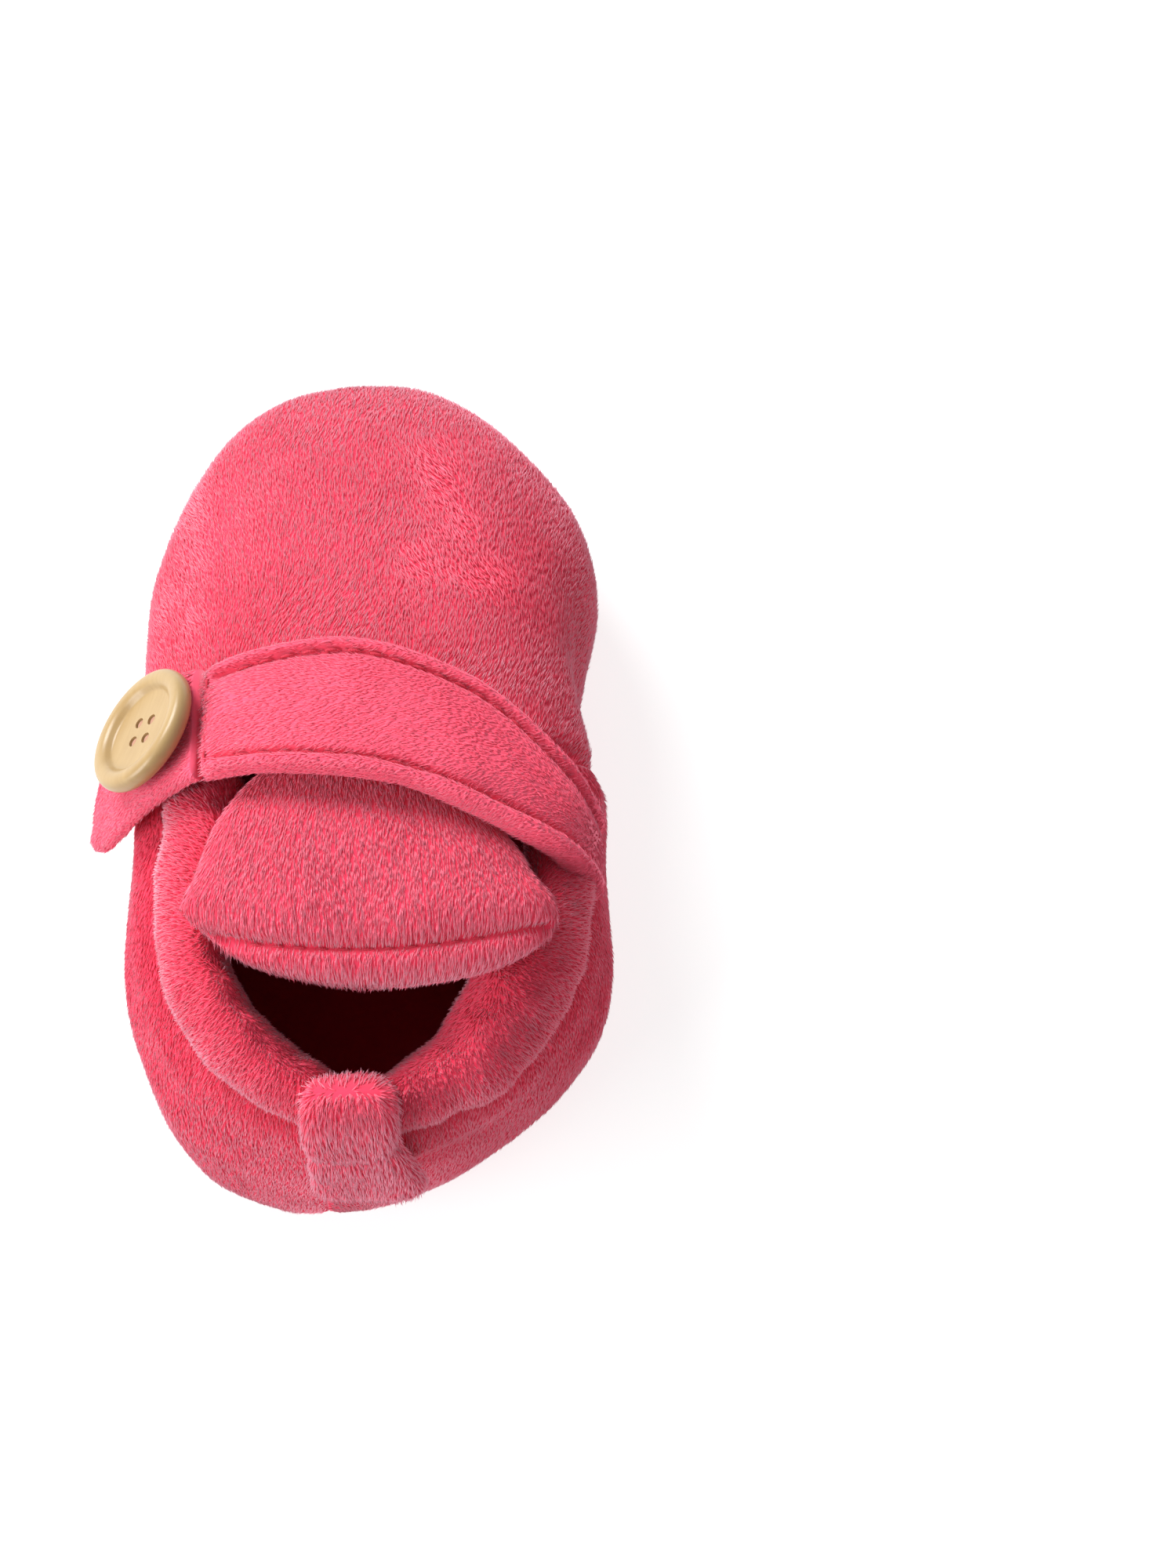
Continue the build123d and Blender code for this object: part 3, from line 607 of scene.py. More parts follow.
def sole_loop(scale, z, inset, count=240, level=0.0):
    """Closed ring with the outline of the shoe at a level, drawn in towards the middle."""
    height, toe, heel, bl, bm, hl, hm = smooth_rows(RINGS, np.array([level]))[0]
    angle = np.arange(count) / count * 2 * math.pi
    middle, half = (toe + heel) / 2, (toe - heel) / 2 - inset
    y = middle + half * power(np.sin(angle), BLUNT)
    mix = ease((y + 45) / 85)
    width = np.where(np.cos(angle) < 0, hl + (bl - hl) * mix, hm + (bm - hm) * mix) - inset
    x = width * power(np.cos(angle), BLUNT) * fullness(y, height, np.cos(angle) < 0) + sway(y, height)
    return np.stack([x * scale, middle + (y - middle) * scale, np.full(count, float(z))], -1)


def plate(bottom, top, inset, level, soften=0.5):
    """Flat cloth with a rounded edge, as rings from the middle below to the middle above."""
    scales = np.linspace(0.03, 1, 26)
    rings = [sole_loop(s, bottom, inset + soften, level=level) for s in scales]
    for turn in np.linspace(-60, 60, 5):
        a = math.radians(turn)
        height = (bottom + top) / 2 + (top - bottom) / 2 * math.sin(a)
        rings.append(sole_loop(1, height, inset + soften * (1 - math.cos(a)), level=level))
    rings += [sole_loop(s, top, inset + soften, level=level) for s in scales[::-1]]
    return outward(np.array(rings))[0]


footbed = plate(5.42, 6.8, 5.2, 2.0)
put_tube("footbed", footbed, plush_lining, "shoe", "footbed", covers=("insole",))

# ---------------------------------------------------------------- sole

sole_disc = plate(0.7, 2.1, 0.3, 0.0)
put_tube("sole_cloth", sole_disc, sole_cloth, "shoe", "sole_cloth", covers=("outsole_fabric",))

dot_radius, dot_height = 0.95, 0.7


def on_sole(x, y, margin):
    """True when a dot at this place keeps clear of the sole seam."""
    height, toe, heel, bl, bm, hl, hm = RINGS[0]
    ball, back = (bl, hl) if x < 0 else (bm, hm)
    width = back + (ball - back) * ease((y + 45) / 85) - margin
    half, middle = (toe - heel) / 2 - margin, (toe + heel) / 2
    across = abs(x - sway(y, height)) / (width * fullness(y, height, x < 0))
    return across ** 2.4 + (abs(y - middle) / half) ** 2.4 < 1


# Share of the dot's radius and how far it stands out of the cloth, from the root in the cloth to the tip.
profile = [
    (1.12, -0.25), (1.12, 0.0), (1.04, 0.12), (0.96, 0.3),
    (0.86, 0.48), (0.68, 0.61), (0.42, 0.68), (0.16, 0.7),
]
verts, faces = [], []
rows, around = len(profile), 18
j = np.arange(around)
k = (j + 1) % around
q = np.arange(around) / around * 2 * math.pi
for row in range(-17, 18):
    for column in range(-17, 18):
        x, y = 4.06 * column + 2.82 * row, -1.23 * column + 3.34 * row
        if not on_sole(x, y, 2.2):
            continue
        base = sum(len(v) for v in verts)
        for share, height in profile:
            radius = share * dot_radius
            level = np.full(around, dot_height - height)
            verts.append(np.stack([x + radius * np.cos(q), y + radius * np.sin(q), level], -1))
        quads = grid_faces(rows, around, wrap=True, start=base)
        faces += [quads[:, [0, 1, 2]], quads[:, [0, 2, 3]]]
        verts.append(np.array([[x, y, dot_height + 0.25], [x, y, 0.0]]))
        root = base + rows * around
        faces.append(np.stack([np.full(around, root), base + j, base + k], -1))
        faces.append(np.stack([np.full(around, root + 1), root - around + k, root - around + j], -1))
tris = np.concatenate(faces)[:, ::-1]
put("grip_pads", np.concatenate(verts), tris, grip, "shoe", "grip", covers=("grip_dots",))

# ---------------------------------------------------------------- collar roll

# x, y, z, half width, half height of the padded roll round the opening, and its lean outwards in degrees
ROLL = [
    (-22.8, -2.5, 39.4, 3.4, 3.6, 0),
    (-22.0, -9.5, 39.8, 4.8, 4.6, 0),
    (-22.2, -16.5, 41.2, 4.6, 5.6, 4),
    (-23.4, -27.0, 41.9, 4.1, 6.2, 8),
    (-20.8, -39.0, 41.4, 4.3, 6.6, 14),
    (-12.8, -48.8, 40.0, 4.2, 6.6, 20),
    (0.0, -53.8, 38.8, 3.2, 6.0, 20),
    (13.0, -48.4, 39.6, 4.6, 7.0, 30),
    (20.6, -38.4, 39.8, 5.4, 7.6, 36),
    (24.2, -28.0, 40.3, 5.0, 7.0, 32),
    (26.2, -19.8, 41.0, 3.8, 5.4, 14),
    (24.8, -12.0, 40.4, 3.6, 5.0, 6),
    (22.0, -4.0, 42.0, 2.8, 3.8, 0),
]


def oval_tube(table, steps, around, square=0.8):
    """Tube of oval section along the rows of a table of x, y, z, half width, half height and lean."""
    t = np.linspace(0, len(table) - 1, steps)
    row = smooth_rows(table, t)
    centre = row[:, :3]
    along = unit(np.gradient(centre, axis=0))
    out = unit(np.cross(along, np.array([0.0, 0.0, 1.0])))
    if (out * centre).sum() < 0:
        out = -out
    over = unit(np.cross(out, along))
    over = np.where(over[:, 2:] < 0, -over, over)
    lean = np.radians(row[:, 5:6])
    over, out = over * np.cos(lean) + out * np.sin(lean), out * np.cos(lean) - over * np.sin(lean)
    q = np.arange(around) / around * 2 * math.pi
    a, b = power(np.cos(q), square), power(np.sin(q), square)
    end = np.clip(np.minimum(t, t[-1] - t) / 0.35, 0, 1)
    swell = np.sqrt(np.clip(1 - (1 - end) ** 2, 0.02, 1))
    wide, high = row[:, 3] * swell, row[:, 4] * swell
    rings = centre[:, None] + out[:, None] * (wide[:, None] * a)[..., None]
    rings = rings + over[:, None] * (high[:, None] * b)[..., None]
    return outward(rings)


roll, n = oval_tube(ROLL, 320, 72)
fold = noise(np.stack([roll[..., 0] * 2.2, roll[..., 1] * 2.2, roll[..., 2] * 0.5], -1), 7.0)
roll = roll + n * (0.1 + 0.4 * fold + 0.35 * noise(roll, 9.0))[..., None]
roll, n = outward(roll)
put_tube("collar_roll", roll, plush, "shoe", "plush", covers=("collar_cover",))
core = [(x, y, z, wide - 1.4, high - 1.4, lean) for x, y, z, wide, high, lean in ROLL]
put_tube("collar_core", oval_tube(core, 160, 40)[0], foam, "shoe", "foam", covers=("collar_foam",))


def from_middle(drop):
    """Pile that runs away from the middle of the opening and down."""
    def flow(p, n):
        """Away from the middle of the opening, and down."""
        away = p - np.array([0.0, -26.0, 0.0])
        away[..., 2] = 0
        return unit(away) + np.array([0, 0, -drop])
    return flow


pile("collar_pile", roll, n, from_middle(0.7), 7.6, 1.4, 0.32, 0.32, plush, "shoe", "plush", wrap=True,
     weight=lambda p, n: 1.0 - 0.75 * (n[..., 2] < -0.3), jitter=0.22)

# ---------------------------------------------------------------- tongue

# y, z, middle x, half width, half thickness
TONGUE = [
    (-1.0, 44.4, 0.0, 11.0, 2.6),
    (-7.0, 46.0, 0.0, 12.4, 3.1),
    (-13.0, 47.9, -0.8, 15.8, 3.4),
    (-19.0, 50.0, -0.4, 19.4, 3.9),
    (-25.0, 51.7, 0.6, 22.4, 4.3),
    (-30.5, 52.6, 1.4, 24.4, 4.5),
    (-36.0, 52.0, 1.4, 25.4, 4.4),
    (-40.6, 50.3, 1.0, 25.6, 3.9),
]
steps, around = 210, 170
t = np.linspace(0, len(TONGUE) - 1, steps)
row = smooth_rows(TONGUE, t)
spine = np.stack([row[:, 2], row[:, 0], row[:, 1]], -1)
back = unit(np.gradient(spine * np.array([0, 1, 1]), axis=0))
over = np.stack([np.zeros(steps), back[:, 2], -back[:, 1]], -1)
over = np.where(over[:, 2:] < 0, -over, over)
q = np.arange(around) / around * 2 * math.pi
a, b = power(np.cos(q), 0.72), power(np.sin(q), 1.0)
tail = np.clip((t - 4.9) / 2.1, 0, 1)
corner = np.sqrt(np.clip(1 - tail ** 1.25, 0.0004, 1))
thick_end = np.clip(1 - np.clip((t - 6.0) / 1.0, 0, 1) ** 2.2, 0.02, 1) ** 0.5
lift = (row[:, 4] * thick_end)[:, None] * b
x = (row[:, 3] * corner)[:, None] * a
tongue = spine[:, None] + np.array([1.0, 0, 0]) * x[..., None] + over[:, None] * lift[..., None]
tongue[..., 1] -= 1.6 * ease((x - 6) / 20) * ease((-22 - tongue[..., 1]) / 8)
tongue, n = outward(tongue)
TONGUE_SEAM = (-36.9, 0.0060, -1.0)


def tongue_seam(x):
    """Where the seam across the end of the tongue lies along the foot."""
    return TONGUE_SEAM[0] + TONGUE_SEAM[1] * (x - TONGUE_SEAM[2]) ** 2


top = ease(n[..., 2] * 3)
dent = 1.5 * bell(tongue[..., 1] - tongue_seam(tongue[..., 0]), 0.95) * top
crown = 0.7 * bell(tongue[..., 1] - tongue_seam(tongue[..., 0]) - 4.0, 3.0) * top
tongue = tongue + n * (0.35 * noise(tongue, 8.0) - dent + crown)[..., None]
tongue, n = outward(tongue)
tongue_flex = ("shoe", "tongue", (0, -0.0010, 0.0448), (0, -0.0065, 0.0462))
tongue_nodes = ("tongue_outer", "tongue_lining", "tongue_wadding")
put_tube("tongue_pad", tongue, plush, tongue_flex, "plush", covers=tongue_nodes)


def tongue_cover(p, n):
    """Less pile near the root, underneath and along the seam."""
    seam = bell(p[..., 1] - tongue_seam(p[..., 0]) - 0.4, 0.55) * (n[..., 2] > 0.2)
    return np.where(p[..., 1] > -9, 0.3, 1.0) * np.where(n[..., 2] < -0.4, 0.35, 1.0) * (1 - 0.8 * seam)


# Paler tips on the tongue: a stronger painted tip highlight.
pile("tongue_pile", tongue, n, toward(0, -1, -0.1), 7.2, 1.6, 0.25, 0.17, plush, tongue_flex, "plush",
     wrap=True, weight=tongue_cover, jitter=0.07, stray=0.3, tip_glint=0.7)

# ---------------------------------------------------------------- strap

# Half width, height and foot of the arch; its climb for each mm towards the heel, counted from STATION.
ARCH_W, ARCH_H, ARCH_Z = 30.4, 20.0, 32.4
CLIMB, STATION = 0.23, -3.0
THICK, TAB_THICK = 4.5, 3.0
# Angles from the top of the arch to the tab's seam and to the strap's root.
seam_angle = math.asin(-20.0 / ARCH_W)
root_angle = math.radians(84.0)


def arch(angle, lift):
    """x and z of the strap's arch at an angle from the top, lifted off the instep."""
    x, z = ARCH_W * np.sin(angle), ARCH_Z + ARCH_H * np.cos(angle)
    sx, sz = ARCH_H * np.sin(angle), ARCH_W * np.cos(angle)
    size = np.hypot(sx, sz)
    return x + lift * sx / size, z + lift * sz / size


def tab_line(s, lift):
    """x and z along the tab, from its seam at s = 0 to its tip at s = 1."""
    x0, z0 = arch(seam_angle, THICK - TAB_THICK)
    x1, z1, x2, z2 = x0 - 8.6, z0 - 6.9, x0 - 15.1, z0 - 24.2
    x = x0 * (1 - s) ** 2 + 2 * x1 * s * (1 - s) + x2 * s ** 2
    z = z0 * (1 - s) ** 2 + 2 * z1 * s * (1 - s) + z2 * s ** 2
    rx, rz = (x1 - x0) * (1 - s) + (x2 - x1) * s, (z1 - z0) * (1 - s) + (z2 - z1) * s
    size = np.hypot(rx, rz)
    return x + lift * rz / size, z - lift * rx / size


def on_band(rule, place, y, lift):
    """Point on the strap or tab: place along it, y along the foot, height above its inner face."""
    x, z = rule(place, lift)
    return np.stack([x + 0 * y, y + 0 * x, z + CLIMB * (STATION - y)], -1)


def pulled_in(angle):
    """How far the strap is drawn in towards the foot on its way down to the root."""
    return 3.0 * ease((angle - math.radians(48)) / math.radians(36))


# Edges of the strap: x across the foot, y along it.
STRAP_FRONT = [
    (-30, 2.6), (-22, 4.6), (-12, 7.2), (-2, 8.0), (8, 5.2), (17, 0.6), (27, -8.2), (34, -13.0), (48, -16.0),
]
STRAP_REAR = [
    (-30, -12.4), (-22, -11.8), (-8, -12.3), (5, -14.2), (16, -18.2), (27, -22.4), (34, -24.4), (48, -25.0),
]

steps, around = 260, 150
end_angle = math.radians(112.0)
angle = np.linspace(seam_angle + 0.012, end_angle, steps)
mid_x = arch(np.minimum(angle, root_angle), THICK / 2)[0] + np.maximum(angle - root_angle, 0) * 22
front, rear = curve_y(STRAP_FRONT, mid_x), curve_y(STRAP_REAR, mid_x)
q = np.arange(around) / around * 2 * math.pi
across, depth = power(np.cos(q), 0.5), power(np.sin(q), 0.62)
y = (front + rear)[:, None] / 2 + ((front - rear) / 2)[:, None] * across
edge_gap = ((front - rear) / 2)[:, None] * (1 - np.abs(across))
from_seam = (angle - seam_angle)[:, None] * 27.0
tuck = ease((angle - math.radians(82)) / math.radians(28))[:, None]
groove = bell(edge_gap - 2.35, 0.6) * (depth > 0.3) * ease((from_seam - 1) / 2)
puff = 1.45 * bell(edge_gap - 0.9, 1.25) + 0.6 * ease((edge_gap - 2.8) / 4)
puff = puff * ease(from_seam / 3.5) - 0.7 * bell(from_seam, 1.1)
half = THICK / 2 * (1 - 0.55 * tuck)
lift = half + depth * half + np.maximum(depth, 0) * puff * (1 - tuck)
lift = lift - 1.35 * groove - 0.25 * np.minimum(depth, 0)
strap = on_band(arch, angle[:, None], y, lift - 5.0 * tuck)
strap[..., 0] -= pulled_in(angle)[:, None]
strap, n, groove = outward(strap, groove)
strap = strap + n * (0.28 * noise(strap, 6.5) * ease(from_seam / 12))[..., None]
strap, n, groove = outward(strap, groove)
strap_flex = ("shoe", "strap", (0.0300, -0.018, 0.0365), (0.0250, -0.015, 0.0445))
strap_nodes = ("strap_outer", "strap_wadding", "strap_backing")
put_tube("strap_pad", strap, strap_plush, strap_flex, "strap_plush", covers=strap_nodes)
pile("strap_pile", strap, n, toward(-1, -0.15, -0.1), 7.4, 1.05, 0.28, 0.24,
     strap_plush, strap_flex, "strap_plush", wrap=True,
     weight=lambda p, n: np.where(n[..., 2] < -0.2, 0.3, 1.0) * (1 - 0.85 * groove[:-1]))

# ---------------------------------------------------------------- closing tab

steps, around = 110, 110
s = 1 - (1 - np.linspace(0.012, 1, steps)) ** 1.25
y_mid = curve_y([(0, -3.3), (0.3, -3.6), (0.6, -5.4), (0.85, -8.4), (1.0, -10.5)], s)
y_half = (8.5 + 1.0 * ease(s / 0.5)) * np.clip(1 - s ** 3.0, 0.0004, 1) ** 0.42
q = np.arange(around) / around * 2 * math.pi
across, depth = power(np.cos(q), 0.5), power(np.sin(q), 0.6)
y = y_mid[:, None] + y_half[:, None] * across
tip_thin = np.clip(1 - s ** 8, 0.05, 1)[:, None] ** 0.5
puff = 0.35 * bell(y_half[:, None] * (1 - np.abs(across)) - 1.2, 1.4)
lift = TAB_THICK / 2 + depth * TAB_THICK / 2 * tip_thin + np.maximum(depth, 0) * puff
tab = on_band(tab_line, s[:, None], y, lift)
tab, n = outward(tab)
tab = tab + n * (0.2 * noise(tab, 6.0))[..., None]
tab, n = outward(tab)
bend = np.array([0.0, 0.2])
seam_start, seam_end = on_band(tab_line, bend, np.full(2, STATION), np.full(2, TAB_THICK / 2)) * MM
tab_flex = ("strap", "tab", tuple(seam_start), tuple(seam_end))
put_tube("tab_pad", tab, strap_plush, tab_flex, "strap_plush", covers=("tab_outer", "tab_backing"))
pile("tab_pile", tab, n, toward(-0.6, -0.5, -0.6), 7.0, 0.95, 0.27, 0.26,
     strap_plush, tab_flex, "strap_plush", wrap=True, weight=lambda p, n: np.where(n[..., 0] > 0.2, 0.3, 1.0))

# ---------------------------------------------------------------- fastener

s, y = np.meshgrid(np.linspace(0.26, 0.58, 24), np.linspace(-5.0, 3.7, 24), indexing="ij")
hooks = on_band(tab_line, s, y, np.full_like(s, -0.05))
hooks_n = grid_normals(hooks)
if hooks_n[..., 0].mean() < 0:
    hooks, hooks_n = hooks[:, ::-1], grid_normals(hooks[:, ::-1])
hooks = hooks + hooks_n * 0.45
put_shell("hook_tape", hooks, 0.45, tape, "tab", "fastener", covers=("hook_patch",))
pile("hook_pins", hooks, hooks_n, toward(0, 1, 0.2), 7.0, 0.45, 0.16, 1.2, tape, "tab", "fastener")

low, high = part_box("loop_patch")
loops = []
for zz in np.linspace(low.z / MM + 0.2, high.z / MM - 0.2, 26):
    lv = np.interp(zz, [r[0] for r in RINGS], np.arange(len(RINGS)))
    yy = np.linspace(low.y / MM + 0.2, high.y / MM - 0.2, 26)
    row = smooth_rows(RINGS, np.array([lv]))[0]
    middle, half = (row[1] + row[2]) / 2, (row[1] - row[2]) / 2
    sin_a = power((yy - middle) / half, 1 / BLUNT)
    width = row[5] + (row[3] - row[5]) * ease((yy + 45) / 85)
    wide = (width + 0.75) * np.sqrt(1 - sin_a ** 2) ** BLUNT * fullness(yy, zz, True)
    loops.append(np.stack([-wide, yy, np.full(26, zz)], -1))
loops = np.array(loops)[:, ::-1]
n = grid_normals(loops)
if n[..., 0].mean() > 0:
    loops, n = loops[:, ::-1], grid_normals(loops[:, ::-1])
put_shell("loop_tape", loops, 0.6, tape, "shoe", "fastener", covers=("loop_patch",))
pile("loop_nap", loops, n, toward(0, 1, 0), 10.0, 0.5, 0.2, 0.5, tape, "shoe", "fastener", jitter=1.4)

# ---------------------------------------------------------------- button

seat = on_band(tab_line, np.array(0.3), np.array(-3.7), np.array(TAB_THICK + 0.8))
b_z = unit(np.array([-0.73, 0.27, 0.63]))
b_x = unit(np.array([0.15, 1.0, 0]) - b_z * (0.15 * b_z[0] + b_z[1]))
b_y = np.cross(b_z, b_x)
b_profile = [
    (0.01, 0.0), (3.0, 0.0), (6.0, 0.0), (7.6, 0.0), (8.3, 0.12), (8.8, 0.45),
    (9.1, 0.95), (9.2, 1.5), (9.15, 2.05), (8.95, 2.5), (8.6, 2.82), (8.15, 2.98),
    (7.6, 3.0), (7.1, 2.88), (6.7, 2.62), (6.4, 2.25), (6.15, 1.95), (5.85, 1.8),
    (5.3, 1.72), (4.2, 1.68), (3.0, 1.66), (1.5, 1.65), (0.01, 1.65),
]
prof = smooth_rows(b_profile, np.linspace(0, len(b_profile) - 1, 90))
q = np.arange(128) / 128 * 2 * math.pi
rings = prof[:, 0, None, None] * (np.cos(q)[None, :, None] * b_x + np.sin(q)[None, :, None] * b_y)
rings = rings + prof[:, 1, None, None] * b_z + seat
rings = outward(rings)[0]
button = put_tube("button_disc", rings, wood, "tab", "button", covers=("button",))
HOLE = 1.42
cutters = []
for hx in (-HOLE, HOLE):
    for hy in (-HOLE, HOLE):
        place = (seat + b_x * hx + b_y * hy) * MM
        bpy.ops.mesh.primitive_cylinder_add(vertices=40, radius=0.78 * MM, depth=0.02, location=place)
        cutter = bpy.context.object
        cutter.rotation_euler = Vector(b_z).to_track_quat("Z", "Y").to_euler()
        cutters.append(cutter)
for cutter in cutters:
    cut = button.modifiers.new("hole", "BOOLEAN")
    cut.operation = "DIFFERENCE"
    cut.object = cutter
    cut.solver = "EXACT"
bpy.context.view_layer.update()
graph = bpy.context.evaluated_depsgraph_get()
drilled = bpy.data.meshes.new_from_object(button.evaluated_get(graph))
button.modifiers.clear()
button.data = drilled
for cutter in cutters:
    bpy.data.objects.remove(cutter)
mesh = bmesh.new()
mesh.from_mesh(button.data)
for edge in mesh.edges:
    edge.smooth = len(edge.link_faces) == 2 and edge.calc_face_angle() < 0.7
mesh.to_mesh(button.data)
mesh.free()

for number, hy in enumerate((-HOLE, HOLE)):
    t = np.linspace(0, 1, 90)
    x = HOLE * np.cos(np.clip((t - 0.3) / 0.4, 0, 1) * math.pi)
    z = 2.2 * np.abs(2 * t - 1) ** 0.7 - 0.75
    line = seat + x[:, None] * b_x + hy * b_y + z[:, None] * b_z
    along = unit(np.gradient(line, axis=0))
    out = unit(np.cross(along, b_y))
    turn = np.arange(16) / 16 * 2 * math.pi
    thin = 0.72 * np.sqrt(np.clip(1 - np.clip(np.abs(2 * t - 1) * 8 - 7, 0, 1) ** 2, 0.03, 1))[:, None, None]
    rim = np.cos(turn)[None, :, None] * out[:, None] + np.sin(turn)[None, :, None] * b_y
    ring = line[:, None] + thin * rim
    put_tube(f"button_thread_{number + 1}", outward(ring)[0], button_thread, "tab", "button_thread",
             covers=("button_thread",) if number == 0 else ())

# ---------------------------------------------------------------- heel tab

# y, z, half width, half thickness, from inside the rim over the roll and down the heel
HEEL = [
    (-51.0, 40.0, 5.4, 1.3),
    (-52.6, 44.4, 5.6, 1.7),
    (-55.2, 47.2, 5.9, 2.2),
    (-57.8, 45.8, 6.2, 2.5),
    (-59.4, 42.4, 6.4, 2.5),
    (-60.1, 39.0, 6.7, 2.4),
    (-60.8, 35.6, 7.1, 2.6),
    (-61.2, 32.2, 7.3, 2.7),
    (-61.0, 29.4, 7.2, 2.4),
]
steps, around = 170, 100
t = np.linspace(0, len(HEEL) - 1, steps)
row = smooth_rows(HEEL, t)
spine = np.stack([0.8 - 2.1 * ease((row[:, 1] - 31) / 14), row[:, 0], row[:, 1]], -1)
along = unit(np.gradient(spine * np.array([0, 1, 1]), axis=0))
over = np.stack([np.zeros(steps), along[:, 2], -along[:, 1]], -1)
q = np.arange(around) / around * 2 * math.pi
a, b = power(np.cos(q), 0.55), power(np.sin(q), 0.85)
tail = np.clip((t[-1] - t) / 0.8, 0, 1)
round_end = np.clip(1 - (1 - tail) ** 3.0, 0.01, 1) ** (1 / 3.0)
strip = spine[:, None] + np.array([1.0, 0, 0]) * ((row[:, 2] * round_end)[:, None] * a)[..., None]
strip = strip + over[:, None] * ((row[:, 3] * np.sqrt(round_end))[:, None] * b)[..., None]
strip, n = outward(strip)
crease = 0.5 * bell(strip[..., 2] - 41.6 - 0.22 * strip[..., 0], 1.5) * (n[..., 1] < 0)
strip = strip + n * (0.45 * noise(strip, 5.0) - crease)[..., None]
strip, n = outward(strip)
heel_flex = ("shoe", "heel_tab", (0, -0.0525, 0.046), (0, -0.0585, 0.046))
put_tube("heel_loop", strip, plush, heel_flex, "plush", covers=("heel_tab",))
# Paler tips on the heel loop: a stronger painted tip highlight.
pile("heel_loop_pile", strip, n, toward(0.1, -0.4, -1), 7.0, 1.7, 0.30, 0.30, plush, heel_flex, "plush",
     wrap=True, weight=lambda p, n: np.where(n[..., 1] > 0.3, 0.3, 1.0), jitter=0.12, stray=0.5, tip_glint=0.5)

# ---------------------------------------------------------------- stitching


def seam_row(points, normals, spacing, length):
    """Even stitches along a line of points with their normals."""
    step = np.linalg.norm(np.diff(points, axis=0), axis=-1)
    run = np.concatenate([[0], np.cumsum(step)])
    count = int(run[-1] / spacing)
    at = (np.arange(count) + 0.5) * run[-1] / count
    centre = np.stack([np.interp(at, run, points[:, i]) for i in range(3)], -1)
    before = np.stack([np.interp(at - length / 2, run, points[:, i]) for i in range(3)], -1)
    after = np.stack([np.interp(at + length / 2, run, points[:, i]) for i in range(3)], -1)
    up = np.stack([np.interp(at, run, normals[:, i]) for i in range(3)], -1)
    return centre, after - before, up


def strap_seam(ys, offset):
    """Line of the stitching along one edge of the strap, and the way up from the cloth."""
    a = np.linspace(seam_angle + 0.16, root_angle - 0.10, 200)
    edge = curve_y(ys, arch(a, THICK / 2)[0]) + offset
    low_line = on_band(arch, a, edge, THICK - 0.75)
    high_line = on_band(arch, a, edge, THICK + 0.25)
    low_line[..., 0] -= pulled_in(a)
    return low_line, unit(high_line - low_line)


rows = [seam_row(*strap_seam(*edge), 2.9, 2.0) for edge in ((STRAP_FRONT, -2.35), (STRAP_REAR, 2.35))]
centres, runs, ups = (np.concatenate([r[i] for r in rows]) for i in range(3))
capsule_row("strap_seam_thread", centres, runs, ups, 2.0, 0.22, thread, strap_flex, "thread",
            ("strap_topstitch",))

ys = np.linspace(-10.4, 3.6, 60)
line = on_band(arch, np.full(60, seam_angle + 0.04), ys, np.full(60, THICK - 0.15))
over = on_band(arch, np.full(60, seam_angle + 0.04), ys, np.full(60, THICK + 0.85))
capsule_row("tab_seam_thread", *seam_row(line, unit(over - line), 2.7, 1.9), 1.9, 0.22, thread, "strap",
            "thread", ("tab_seam_stitch",))

xs = np.linspace(-15.0, 17.0, 80)
line = []
for x in xs:
    near = np.abs(tongue[..., 0] - x) + np.abs(tongue[..., 1] - tongue_seam(x)) + 50 * (tongue[..., 2] < 51)
    line.append(tongue.reshape(-1, 3)[near.argmin()])
line = np.array(line)
height = np.convolve(np.pad(line[:, 2], 4, "edge"), np.ones(9) / 9, "valid")
line = np.stack([xs, tongue_seam(xs), height + 0.05], -1)
capsule_row("tongue_thread", *seam_row(line, np.tile([0, 0, 1.0], (80, 1)), 2.9, 2.1), 2.1, 0.2, thread,
            "tongue", "thread", ("tongue_stitch",))

level, share = np.meshgrid(np.linspace(6.0, 6.9, 6), np.linspace(0.93, 0.07, 400), indexing="ij")
ring = skin(level, share, False)
ring_n = grid_normals(ring)
line, line_n = ring[3] - ring_n[3] * 0.9, ring_n[3]
keep = (np.abs(line[:, 0]) > 8.5) & (line[:, 1] < -16)
rows = []
for half_line in (keep & (line[:, 0] > 0), keep & (line[:, 0] < 0)):
    rows.append(seam_row(line[half_line], line_n[half_line], 3.2, 2.2))
centres, runs, ups = (np.concatenate([r[i] for r in rows]) for i in range(3))
capsule_row("collar_thread", centres, runs, ups, 2.2, 0.24, thread, "shoe", "thread", ("collar_stitch",))

loop = sole_loop(1, 2.0, -0.5, 500, level=0.75)
loop = np.concatenate([loop, loop[:1]])
outs = unit((loop - np.array([0, 0, 2.0])) * np.array([1.6, 0.6, 0]) + np.array([0, 0, -6.0]))
capsule_row("sole_thread", *seam_row(loop, outs, 3.4, 2.3), 2.3, 0.24, thread, "shoe", "thread",
            ("sole_seam_stitch",))

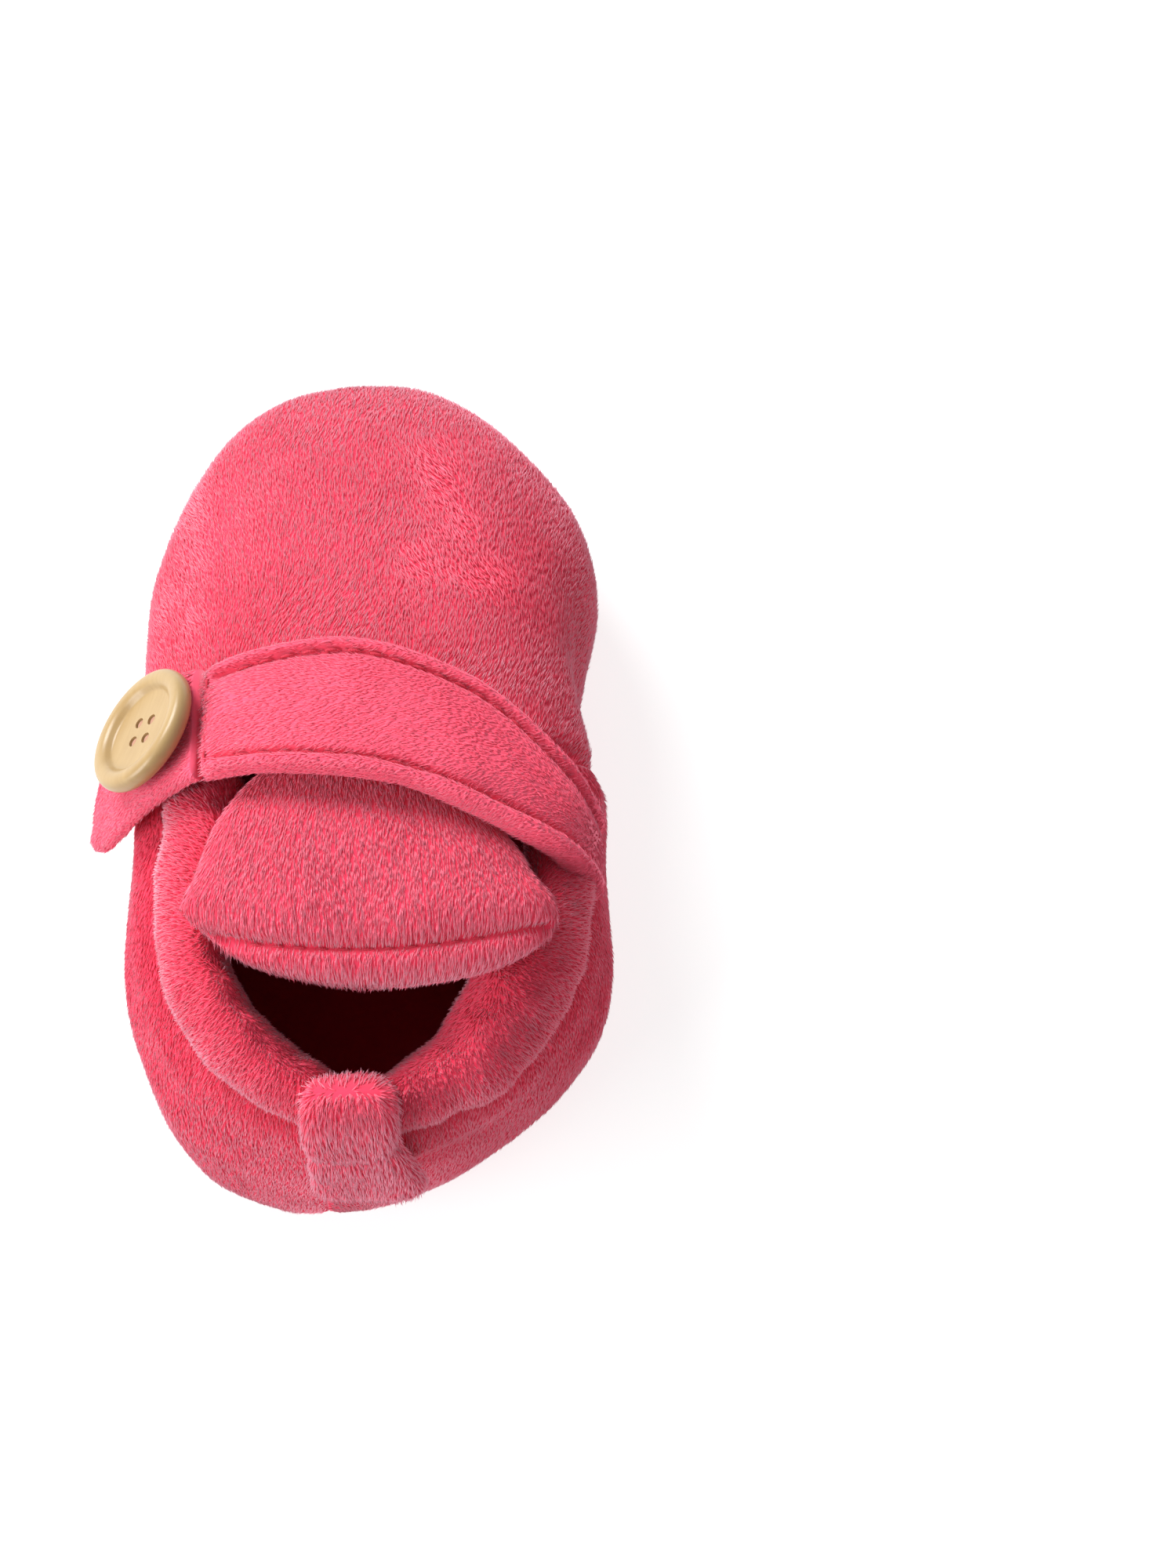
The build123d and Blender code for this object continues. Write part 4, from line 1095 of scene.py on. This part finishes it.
xs = np.linspace(-5.6, 5.6, 30)
line = np.stack([xs, np.full(30, -63.3), np.full(30, 33.0)], -1)
capsule_row("heel_tab_thread", *seam_row(line, np.tile([0, -1.0, 0.05], (30, 1)), 2.6, 1.9), 1.9, 0.22,
            thread, "heel_tab", "thread", ("heel_tab_stitch",))

# ---------------------------------------------------------------- layers that stay hidden inside

sole_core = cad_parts["sole_foam"]
sole_core.data.materials.clear()
sole_core.data.materials.append(foam)

# ---------------------------------------------------------------- studio

floor_mat = Recipe("studio_floor").finish(
    Base_Color=(0.40, 0.43, 0.43), Roughness=0.9, Emission_Color=(1, 1, 1), Emission_Strength=0.76,
)
bpy.ops.mesh.primitive_plane_add(size=6.0, location=(0, 0, 0))
floor = bpy.context.object
floor.name = "studio_floor"
floor.data.materials.append(floor_mat)
floor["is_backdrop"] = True


def lamp(name, place, power_w):
    """Round soft light at a place, turned to the bootie."""
    light = bpy.data.lights.new(name, "AREA")
    light.shape = "DISK"
    light.size = 0.9
    light.energy = power_w
    obj = bpy.data.objects.new(name, light)
    obj.location = place
    obj.rotation_euler = (Vector((0, 0, 0.02)) - Vector(place)).to_track_quat("-Z", "Y").to_euler()
    bpy.context.scene.collection.objects.link(obj)
    obj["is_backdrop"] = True


lamp("key", (-0.74, 0.84, 1.00), 24.0)
lamp("heel_fill", (-1.05, -0.62, 0.62), 13.0)

world = bpy.data.worlds.new("studio")
world.use_nodes = True
world.node_tree.nodes["Background"].inputs["Color"].default_value = (1, 1, 1, 1)
world.node_tree.nodes["Background"].inputs["Strength"].default_value = 0.40
bpy.context.scene.world = world
bpy.context.scene.view_settings.view_transform = "Standard"

elevation = math.radians(70.0)
distance = 0.80
half_view = 0.1089      # half the height of the view, in metres, at the aim
aim = Vector((0.030, -0.001, 0.020))
camera_data = bpy.data.cameras.new("camera")
camera_data.sensor_fit = "VERTICAL"
camera_data.sensor_height = 24.0
camera_data.lens = camera_data.sensor_height / 2 * distance / half_view
camera = bpy.data.objects.new("camera", camera_data)
back = Vector((0, -math.cos(elevation), math.sin(elevation)))
camera.location = aim + back * distance
camera.rotation_euler = back.to_track_quat("Z", "Y").to_euler()
bpy.context.scene.collection.objects.link(camera)
bpy.context.scene.camera = camera

low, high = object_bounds()
